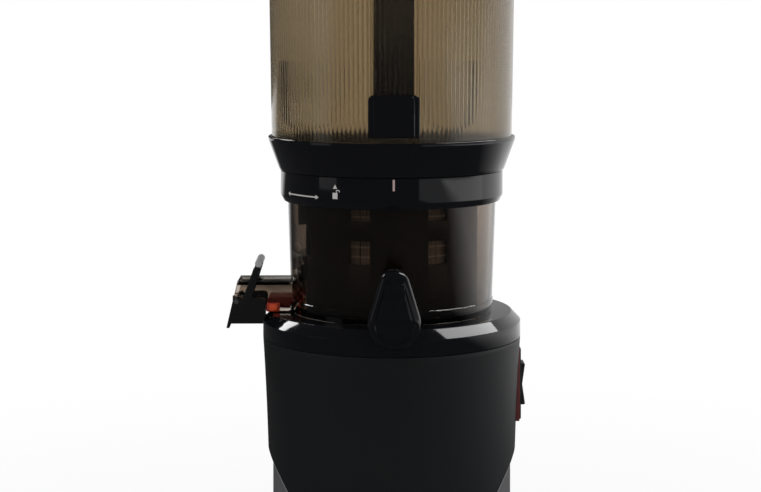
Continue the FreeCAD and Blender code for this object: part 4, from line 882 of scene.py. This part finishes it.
for name, low, high in (("front", -GATE_OUTER - 0.4, -GATE_HALF_INNER),
                        ("back", GATE_HALF_INNER, GATE_OUTER + 0.4)):
    arm = prism(f"gate_lever_arm_{name}", [
        (FOOT_X - 4.4, ARM_END, 2.0), (FOOT_X + 0.8, ARM_END, 2.0), (FOOT_X + 2.8, GATE_TOP),
        (TIP_X + 2.4, TIP_Z, 0.8), (TIP_X - 2.4, TIP_Z, 0.8), (FOOT_X - 2.8, GATE_TOP)],
        low, high, "Y", gate_black, 0.4)
    if name == "back":
        seat(arm, "pulp_gate", "black_plastic", "gate_lever")
    else:
        seat(arm, "pulp_gate", "black_plastic")
light_grip = moulded("light_grip", (0.42, 0.42, 0.42), (0.5, 0.5, 0.5), 0.4, 500, 0.15)
GRIP_X, GRIP_Z, GRIP_RADIUS, GRIP_HALF = -85.5, 219.2, 2.4, GATE_OUTER
grip = turned_along_y("lever_grip_roller", [
    (0, -GRIP_HALF), (GRIP_RADIUS, -GRIP_HALF, 0.5), (GRIP_RADIUS, GRIP_HALF, 0.5), (0, GRIP_HALF)],
    GRIP_Z, GRIP_X, 48)
new_piece("lever_grip_roller", grip, light_grip, "pulp_gate", "light_grip", "lever_grip")

# Lock ring.
# The glossy black ring that turns the hopper onto the drum, with printed white marks: a double
# arrow, an open padlock with a small triangle, and a short line in front.
LOCK_RADIUS, LOCK_BOTTOM, COLLAR_BOTTOM = 72.0, 259.4, 279.2
lock = lathe("lock_ring_band", [
    (68.1, LOCK_BOTTOM, 0.3), (LOCK_RADIUS - 2, LOCK_BOTTOM, 0.8), (LOCK_RADIUS, LOCK_BOTTOM + 4, 1.2),
    (LOCK_RADIUS, COLLAR_BOTTOM - 0.6, 0.5), (LOCK_RADIUS - 0.5, COLLAR_BOTTOM), (68.1, COLLAR_BOTTOM)], 256)
new_piece("lock_ring_band", lock, black_gloss, "hopper", "gloss_black", "lock_ring")


def marks_mesh(name, shapes, radius, lift=0.06):
    """Flat outlines of distance round the ring and height in mm, wrapped on a cylinder."""
    shape = bmesh.new()
    for outline in shapes:
        ends = []
        for depth in (radius - 0.15, radius + lift):
            ends.append([shape.verts.new(around(depth, across / radius - math.pi / 2, height))
                         for across, height in outline])
        shape.faces.new(ends[1])
        shape.faces.new(list(reversed(ends[0])))
        for i in range(len(outline)):
            j = (i + 1) % len(outline)
            shape.faces.new((ends[0][i], ends[0][j], ends[1][j], ends[1][i]))
    bmesh.ops.recalc_face_normals(shape, faces=shape.faces)
    mesh = bpy.data.meshes.new(name)
    shape.to_mesh(mesh)
    shape.free()
    return mesh


def bar_between(first, second, width):
    """A thin upright strip cut in short lengths so that it follows the ring."""
    first, second = Vector(first), Vector(second)
    side = (second - first).normalized().orthogonal() * width / 2
    count = max(1, round((second - first).length / 1.5))
    strips = []
    for k in range(count):
        a = first.lerp(second, k / count)
        b = first.lerp(second, (k + 1) / count)
        strips.append([tuple(a - side), tuple(b - side), tuple(b + side), tuple(a + side)])
    return strips


white_print = moulded("white_print", (0.62, 0.6, 0.58), (0.7, 0.68, 0.66), 0.5)
ARROW_Z, ARROW_FROM, ARROW_TO = 265.9, -82.6, -50.0
arrow = (bar_between((ARROW_FROM + 2, ARROW_Z), (ARROW_TO - 2, ARROW_Z), 0.8)
         + [[(ARROW_FROM, ARROW_Z), (ARROW_FROM + 2.6, ARROW_Z - 1.4), (ARROW_FROM + 2.6, ARROW_Z + 1.4)],
            [(ARROW_TO, ARROW_Z), (ARROW_TO - 2.6, ARROW_Z + 1.4), (ARROW_TO - 2.6, ARROW_Z - 1.4)]])
LOCK_MARK = -37.5
padlock = ([[(LOCK_MARK - 1.75, 265.6), (LOCK_MARK + 1.75, 265.6), (LOCK_MARK + 1.75, 269.4),
             (LOCK_MARK - 1.75, 269.4)]]
           + bar_between((LOCK_MARK + 0.9, 269.4), (LOCK_MARK + 0.9, 270.9), 0.5)
           + bar_between((LOCK_MARK + 0.9, 270.9), (LOCK_MARK + 3.0, 270.9), 0.5)
           + bar_between((LOCK_MARK + 3.0, 270.9), (LOCK_MARK + 3.0, 269.8), 0.5)
           + [[(LOCK_MARK - 1.5, 271.9), (LOCK_MARK + 1.5, 271.9), (LOCK_MARK, 274.5)]])
marks = marks_mesh("lock_ring_marks", arrow + padlock, LOCK_RADIUS)
new_piece("lock_ring_marks", marks, white_print, "hopper", "gloss_black")
rosy_print = moulded("rosy_print", (0.55, 0.4, 0.37), (0.62, 0.46, 0.43), 0.5)
front_mark = marks_mesh("lock_ring_front_mark", [
    [(-0.65, 271.3), (0.65, 271.3), (0.65, 278.1), (-0.65, 278.1)]], LOCK_RADIUS)
new_piece("lock_ring_front_mark", front_mark, rosy_print, "hopper", "gloss_black")

# Hopper collar.
# The black funnel ring between the lock ring and the clear hopper, moulded in one with a rolled
# foot and a thin lip that holds the hopper wall.
HOPPER_FOOT, HOPPER_FOOT_RADIUS, HOPPER_RIM, HOPPER_RIM_RADIUS, HOPPER_WALL = 297.0, 77.7, 455.0, 80.4, 3.0
COLLAR_TOP, COLLAR_RADIUS = 300.8, 80.0
collar = lathe("hopper_collar_funnel", [
    (56.5, 267, 0.5), (68.1, 267), (68.1, COLLAR_BOTTOM), (72.6, COLLAR_BOTTOM, 0.6),
    (73.4, COLLAR_BOTTOM + 1.6, 0.8), (COLLAR_RADIUS, COLLAR_TOP - 2.2, 1.2),
    (COLLAR_RADIUS, COLLAR_TOP, 0.8),
    (HOPPER_FOOT_RADIUS + 0.2, COLLAR_TOP, 0.3), (HOPPER_FOOT_RADIUS + 0.2, HOPPER_FOOT),
    (HOPPER_FOOT_RADIUS - 3, HOPPER_FOOT, 0.5), (70, COLLAR_BOTTOM + 3, 4), (56.5, 273, 2)], 256)
new_piece("hopper_collar_funnel", collar, black_gloss, "hopper", "gloss_black", "hopper_collar")

# Hopper wall.
# A tall, slightly flared tube of brown smoked plastic. Fine upright flutes are moulded in its
# inner face and fade out above its foot.
RIBS, RIB_DEPTH, RIB_END = 160, 0.5, 308.0
smoked_hopper = clear("smoked_hopper_plastic", (0.47, 0.385, 0.255), 0.02, ripple=0.015)


def fluted(name, dark, light):
    """The hopper's plastic, in stripes of painted highlight and shade round the axis, one pair to each flute;
    plain below where flutes start.
    """
    finish = Finish(name, Transmission_Weight=1.0, IOR=1.49)
    x, y, z = finish.axes()
    wave = x.maths("SINE", x.maths("ARCTAN2", y, x) * float(RIBS), 0.0)
    above = finish.spread(z, RIB_END * MM, (RIB_END + 6) * MM, 0.0, 1.0)
    # Painted highlight and shade: the colour runs lighter and darker round each flute, for the light that the
    # flutes bend.
    finish.shade(0.5 + wave * above * 0.5, dark, light)
    finish.set("Roughness", finish.spread(finish.grain(240, 3), 0.4, 0.8, 0.11, 0.15))
    finish.bump(finish.grain(42, 1), 0.015, 0.001)
    return finish.material


fluted_hopper = fluted("fluted_hopper_plastic", (0.34, 0.275, 0.18), (0.5, 0.43, 0.32))


def hopper_radius(height):
    part = (height - HOPPER_FOOT) / (HOPPER_RIM - HOPPER_FOOT)
    return HOPPER_FOOT_RADIUS + (HOPPER_RIM_RADIUS - HOPPER_FOOT_RADIUS) * part


def tree_node(tree, kind, inputs=None, **settings):
    added = tree.nodes.new(kind)
    for name, value in settings.items():
        setattr(added, name, value)
    for name, value in (inputs or {}).items():
        if isinstance(value, bpy.types.NodeSocket):
            tree.links.new(value, added.inputs[name])
        else:
            added.inputs[name].default_value = value
    return added.outputs[0]


def flute_tree():
    """Moves the inner face in and out by the angle round the axis, more with height at the foot."""
    tree = bpy.data.node_groups.new("upright_flutes", "GeometryNodeTree")
    tree.interface.new_socket("Geometry", in_out="INPUT", socket_type="NodeSocketGeometry")
    tree.interface.new_socket("Count", in_out="INPUT", socket_type="NodeSocketFloat")
    tree.interface.new_socket("Depth", in_out="INPUT", socket_type="NodeSocketFloat")
    tree.interface.new_socket("Material", in_out="INPUT", socket_type="NodeSocketMaterial")
    tree.interface.new_socket("Geometry", in_out="OUTPUT", socket_type="NodeSocketGeometry")
    given = tree.nodes.new("NodeGroupInput").outputs
    spot = tree_node(tree, "GeometryNodeInputPosition")
    parts = tree.nodes.new("ShaderNodeSeparateXYZ")
    tree.links.new(spot, parts.inputs[0])
    x, y, z = parts.outputs

    def maths(operation, *values):
        return tree_node(tree, "ShaderNodeMath", dict(enumerate(values)), operation=operation)

    turn = maths("ARCTAN2", y, x)
    wave = maths("MULTIPLY_ADD", maths("COSINE", maths("MULTIPLY", turn, given["Count"])), 0.5, -0.5)
    away = maths("SQRT", maths("ADD", maths("MULTIPLY", x, x), maths("MULTIPLY", y, y)))
    slope = (HOPPER_RIM_RADIUS - HOPPER_FOOT_RADIUS) / (HOPPER_RIM - HOPPER_FOOT)
    outer = maths("MULTIPLY_ADD", maths("SUBTRACT", z, HOPPER_FOOT * MM), slope, HOPPER_FOOT_RADIUS * MM)
    inside = maths("LESS_THAN", away, maths("SUBTRACT", outer, 1.5 * MM))
    fade = tree_node(tree, "ShaderNodeMapRange", {
        "Value": z, "From Min": RIB_END * MM, "From Max": (RIB_END + 4) * MM, "To Min": 0.0, "To Max": 1.0})
    below_rim = tree_node(tree, "ShaderNodeMapRange", {
        "Value": z, "From Min": (HOPPER_RIM - 5) * MM, "From Max": (HOPPER_RIM - 2) * MM,
        "To Min": 1.0, "To Max": 0.0})
    push = maths("MULTIPLY", maths("MULTIPLY", maths("MULTIPLY", wave, given["Depth"]), inside),
                 maths("MULTIPLY", fade, below_rim))
    ratio = maths("DIVIDE", push, away)
    flat = tree_node(tree, "ShaderNodeCombineXYZ", {"X": x, "Y": y, "Z": 0.0})
    shift = tree_node(tree, "ShaderNodeVectorMath", {0: flat, "Scale": ratio}, operation="SCALE")
    moved = tree_node(tree, "GeometryNodeSetPosition", {"Geometry": given["Geometry"], "Offset": shift})
    real = tree_node(tree, "GeometryNodeRealizeInstances", {"Geometry": moved})
    dressed = tree_node(tree, "GeometryNodeSetMaterial", {"Geometry": real, "Material": given["Material"]})
    tree.links.new(dressed, tree.nodes.new("NodeGroupOutput").inputs[0])
    return tree


def grown(piece, tree, **values):
    """Run a Geometry Nodes tree on a piece with its named inputs, then keep plain mesh."""
    modifier = piece.modifiers.new(tree.name, "NODES")
    modifier.node_group = tree
    for item in tree.interface.items_tree:
        if item.in_out == "INPUT" and item.name in values:
            modifier[item.identifier] = values[item.name]
    return settle(piece)


wall_outline = [(HOPPER_FOOT_RADIUS - HOPPER_WALL, HOPPER_FOOT), (HOPPER_FOOT_RADIUS, HOPPER_FOOT)]
wall_outline += [(hopper_radius(z), z) for z in (330, 380, 430)]
wall_outline += [(HOPPER_RIM_RADIUS, HOPPER_RIM, 0.8), (HOPPER_RIM_RADIUS - HOPPER_WALL, HOPPER_RIM, 0.8)]
wall_outline += [(hopper_radius(z) - HOPPER_WALL, z)
                 for z in (HOPPER_RIM - 2, HOPPER_RIM - 5, 430, 380, 330, RIB_END + 4, RIB_END)]
wall = loose_piece("hopper_wall_clear", lathe("hopper_wall_clear", wall_outline, RIBS * 8, 3), None)
grown(wall, flute_tree(), Count=float(RIBS), Depth=RIB_DEPTH * MM, Material=fluted_hopper)
seat(wall, "hopper", "smoked_hopper", "hopper_wall")

# Interlock column.
# A smoked channel stands inside the front of the hopper and hides the black rod that tells the
# base the lid is shut. A glossy black bracket on the outside covers its foot.
COLUMN_HALF, COLUMN_FRONT, COLUMN_BACK = 12.75, 73.4, 66.0
column_smoke = clear("column_smoke", (0.05, 0.045, 0.045), 0.08, ripple=0.02)
column = block("interlock_column", (-COLUMN_HALF, -COLUMN_FRONT, 304), (COLUMN_HALF, -COLUMN_BACK, 452),
               1.2, 4, column_smoke)
carved(column, block("column_room", (-COLUMN_HALF + 1.7, -COLUMN_FRONT + 1.7, 306),
                     (COLUMN_HALF - 1.7, -COLUMN_BACK - 1.7, 460), 0))
seat(column, "hopper", "smoked_hopper", "sensor_column")

BRACKET_HALF, BRACKET_FACE, BRACKET_BOTTOM, BRACKET_TOP = 15.7, 82.5, 304.0, 330.0
bracket = prism("column_bracket_block", [
    (-BRACKET_HALF, BRACKET_BOTTOM, 1.0), (BRACKET_HALF, BRACKET_BOTTOM, 1.0),
    (BRACKET_HALF, BRACKET_TOP, 3.5), (-BRACKET_HALF, BRACKET_TOP, 3.5)], -BRACKET_FACE + 1.2, -70, "Y",
    black_gloss, 0.9)
carved(bracket, rod_along("bracket_clear", "Z", HOPPER_FOOT_RADIUS + 0.9, 280, 350, (0, 0), 256))
seat(bracket, "hopper", "gloss_black", "column_bracket")
face = prism("column_bracket_face", [
    (-BRACKET_HALF + 3, BRACKET_BOTTOM + 0.4, 1.0), (BRACKET_HALF - 3, BRACKET_BOTTOM + 0.4, 1.0),
    (BRACKET_HALF - 3, BRACKET_TOP - 0.6, 2.5), (-BRACKET_HALF + 3, BRACKET_TOP - 0.6, 2.5)],
    -BRACKET_FACE, -BRACKET_FACE + 2.5, "Y", black_gloss, 0.9)
seat(face, "hopper", "gloss_black")

# Lid.
# A glossy black ring hinged at the back, with a smoked window in it, a finger tab in front and a
# nib that presses the interlock rod. The hinge's leaf is clipped to the hopper's back.
LID_RADIUS, LID_TOP, LID_OPENING, LID_BOTTOM = 82.0, 471.0, 58.0, 455.1
HINGE_Y, HINGE_Z = 85.5, 461.0
lid = loose_piece("lid_ring", lathe("lid_ring", [
    (LID_OPENING, 466, 0.3), (68, LID_BOTTOM, 1.5), (LID_RADIUS, LID_BOTTOM, 0.8),
    (LID_RADIUS, 467, 2.5), (78, LID_TOP, 3), (LID_OPENING, LID_TOP, 0.8)], 256), black_gloss)
carved(lid, *[block(f"ear_room_{side}", (low, HINGE_Y - 6, 450), (low + 8, 95, 470), 0)
              for side, low in (("right", 7.9), ("left", -15.9))])
seat(lid, "lid", "gloss_black", "lid_frame")
finger_tab = block("lid_tab", (-12, -LID_RADIUS - 5, LID_BOTTOM + 1), (12, -LID_RADIUS + 3, 465), 1.6, 4,
                   black_gloss)
seat(finger_tab, "lid", "gloss_black")
nib = block("lid_nib", (-4, -71.5, 449), (4, -68, 457), 0.5, 3, black_gloss)
seat(nib, "lid", "gloss_black")
knuckle = prism("lid_knuckle", [
    (79.5, 459), (HINGE_Y - 1, 457.5, 1), (89, 457.5, 3.4), (89, 464.5, 3.4), (79.5, 464.5)],
    -7.9, 7.9, "X", black_gloss, 0.4)
carved(knuckle, rod_along("knuckle_hole", "X", 2.05, -10, 10, (HINGE_Y, HINGE_Z)))
seat(knuckle, "lid", "gloss_black")
pane = lathe("lid_window_pane", [
    (0, 467), (LID_OPENING, 467), (LID_OPENING, 470), (40, 470.3, 20), (0, 470.5)], 192)
new_piece("lid_window_pane", pane, smoked_hopper, "lid", "smoked_hopper", "lid_window")
dress(black_gloss, "hinge_bracket")

# Floor, light and camera.
# A white sweep under and behind the object in a studio that is dark to the gloss, with a small
# key light behind on the left, a long soft box on the right and weak fills low at the sides.
FRONT_DARK = 0.05


def pale(name, near_white):
    """A pale surface. The camera sees it partly as plain white, so that only shadow shows, and
    reflections see it white behind the object and dark in front, as in the studio."""
    finish = Finish(name, Roughness=0.8)
    finish.shade(finish.grain(2.0, 2), (0.78, 0.78, 0.78), (0.8, 0.8, 0.8))
    path = finish.tree.nodes.new("ShaderNodeLightPath")
    seen, glossy, through = (Wire(finish, path.outputs[ray]) for ray in
                             ("Is Camera Ray", "Is Glossy Ray", "Is Transmission Ray"))
    across, depth = finish.axes()[:2]
    behind = finish.spread(depth + across, 0.6, 1.4, FRONT_DARK, 1.0)
    glow = finish.node("ShaderNodeEmission", {}, {"Strength": glossy * (behind - 1) + 1})
    away = finish.node("ShaderNodeVectorMath", {"operation": "LENGTH"}, {0: finish.place()}, "Value")
    whiteness = finish.spread(away, 0.25, 0.7, near_white, 1.0)
    share = seen.maths("MAXIMUM", seen.maths("MAXIMUM", seen, through) * whiteness, glossy)
    mixed = finish.tree.nodes.new("ShaderNodeMixShader")
    finish.tree.links.new(share.socket, mixed.inputs[0])
    finish.tree.links.new(finish.shader.outputs[0], mixed.inputs[1])
    finish.tree.links.new(glow.socket, mixed.inputs[2])
    finish.tree.links.new(mixed.outputs[0], finish.tree.nodes["Material Output"].inputs["Surface"])
    return finish.material


def floor_mesh():
    mesh = bpy.data.meshes.new("floor")
    mesh.from_pydata([(-6, -6, 0), (6, -6, 0), (6, 6, 0), (-6, 6, 0)], [], [(0, 1, 2, 3)])
    return mesh


floor = loose_piece("floor", floor_mesh(), pale("pale_floor", 0.85))

world = bpy.data.worlds.new("studio")
bpy.context.scene.world = world
world.use_nodes = True
sky = world.node_tree
sky_wires = Finish.__new__(Finish)
sky_wires.tree = sky
path = sky.nodes.new("ShaderNodeLightPath")
sky_parts = sky_wires.node("ShaderNodeSeparateXYZ", {}, {"Vector": sky_wires.node(
    "ShaderNodeTexCoord", output="Generated")})
toward = (Wire(sky_wires, sky_parts.socket.node.outputs[1])
          + Wire(sky_wires, sky_parts.socket.node.outputs[0]))
behind = sky_wires.spread(toward, 0.9, 1.35, FRONT_DARK, 1.0)
glossy = Wire(sky_wires, path.outputs["Is Glossy Ray"])
seen = Wire(sky_wires, path.outputs["Is Camera Ray"])
through = Wire(sky_wires, path.outputs["Is Transmission Ray"])
ROOM_LIGHT = 0.55
white = seen.maths("MAXIMUM", seen, through)
level = glossy * behind + (1 - glossy) * ROOM_LIGHT
level = level * (1 - white) + white
sky_wires.fill(sky.nodes["Background"].inputs["Strength"], level)
sky.nodes["Background"].inputs["Color"].default_value = (1, 1, 1, 1)


LIT_POINT = Vector((0, 0, 0.185))


def soft_box(name, direction, distance, width, tall, radiance, along=(0, 0, 1)):
    """An area lamp of a given radiance that faces the object; its tall side runs along a direction."""
    lamp = bpy.data.lights.new(name, "AREA")
    lamp.shape = "RECTANGLE"
    lamp.size = width
    lamp.size_y = tall
    lamp.energy = radiance * math.pi * width * tall
    box = bpy.data.objects.new(name, lamp)
    toward = Vector(direction).normalized()
    side = Vector(along).cross(toward).normalized()
    up = toward.cross(side)
    box.matrix_world = Matrix.Translation(LIT_POINT + toward * distance) @ Matrix(
        (side, up, toward)).transposed().to_4x4()
    bpy.context.scene.collection.objects.link(box)
    return box


soft_box("key_left", (-0.594, 0.582, 0.54), 1.6, 0.4, 0.36, 9.0)
soft_box("strip_left", (-0.49, 0.79, 0.36), 1.6, 0.08, 0.3, 7.0)
soft_box("soft_box_right", (0.587, 0.232, 0.774), 1.8, 0.5, 1.35, 6.0, (0.22, 0.615, -0.365))
soft_box("card_right", (0.906, -0.423, 0.0), 1.5, 2.4, 0.33, 0.3)
soft_box("fill_left", (-0.91, -0.366, 0.21), 1.6, 0.6, 0.8, 0.3)

# The camera stands a little left of the front, level and just above the middle of the hopper. Its
# lens is shifted so that the frame of 761 pixels holds the lower part of what it sees.
FRAME_WIDTH, FOCAL_PIXELS, SENSOR = 761, 1700.0, 36.0
CAMERA_DISTANCE, CAMERA_HEIGHT, CAMERA_AZIMUTH = 1.105, 0.3735, -1.0
SHIFT_RIGHT, SHIFT_DOWN = -11.2, -223.0
camera = bpy.data.objects.new("camera", bpy.data.cameras.new("camera"))
camera.data.sensor_width = SENSOR
camera.data.lens = SENSOR * FOCAL_PIXELS / FRAME_WIDTH
camera.data.shift_x = SHIFT_RIGHT / FRAME_WIDTH
camera.data.shift_y = SHIFT_DOWN / FRAME_WIDTH
azimuth = math.radians(CAMERA_AZIMUTH)
camera.location = (CAMERA_DISTANCE * math.sin(azimuth), -CAMERA_DISTANCE * math.cos(azimuth), CAMERA_HEIGHT)
camera.rotation_euler = (math.pi / 2, 0, azimuth)
bpy.context.scene.collection.objects.link(camera)
bpy.context.scene.camera = camera
bpy.context.scene.view_settings.view_transform = "Standard"
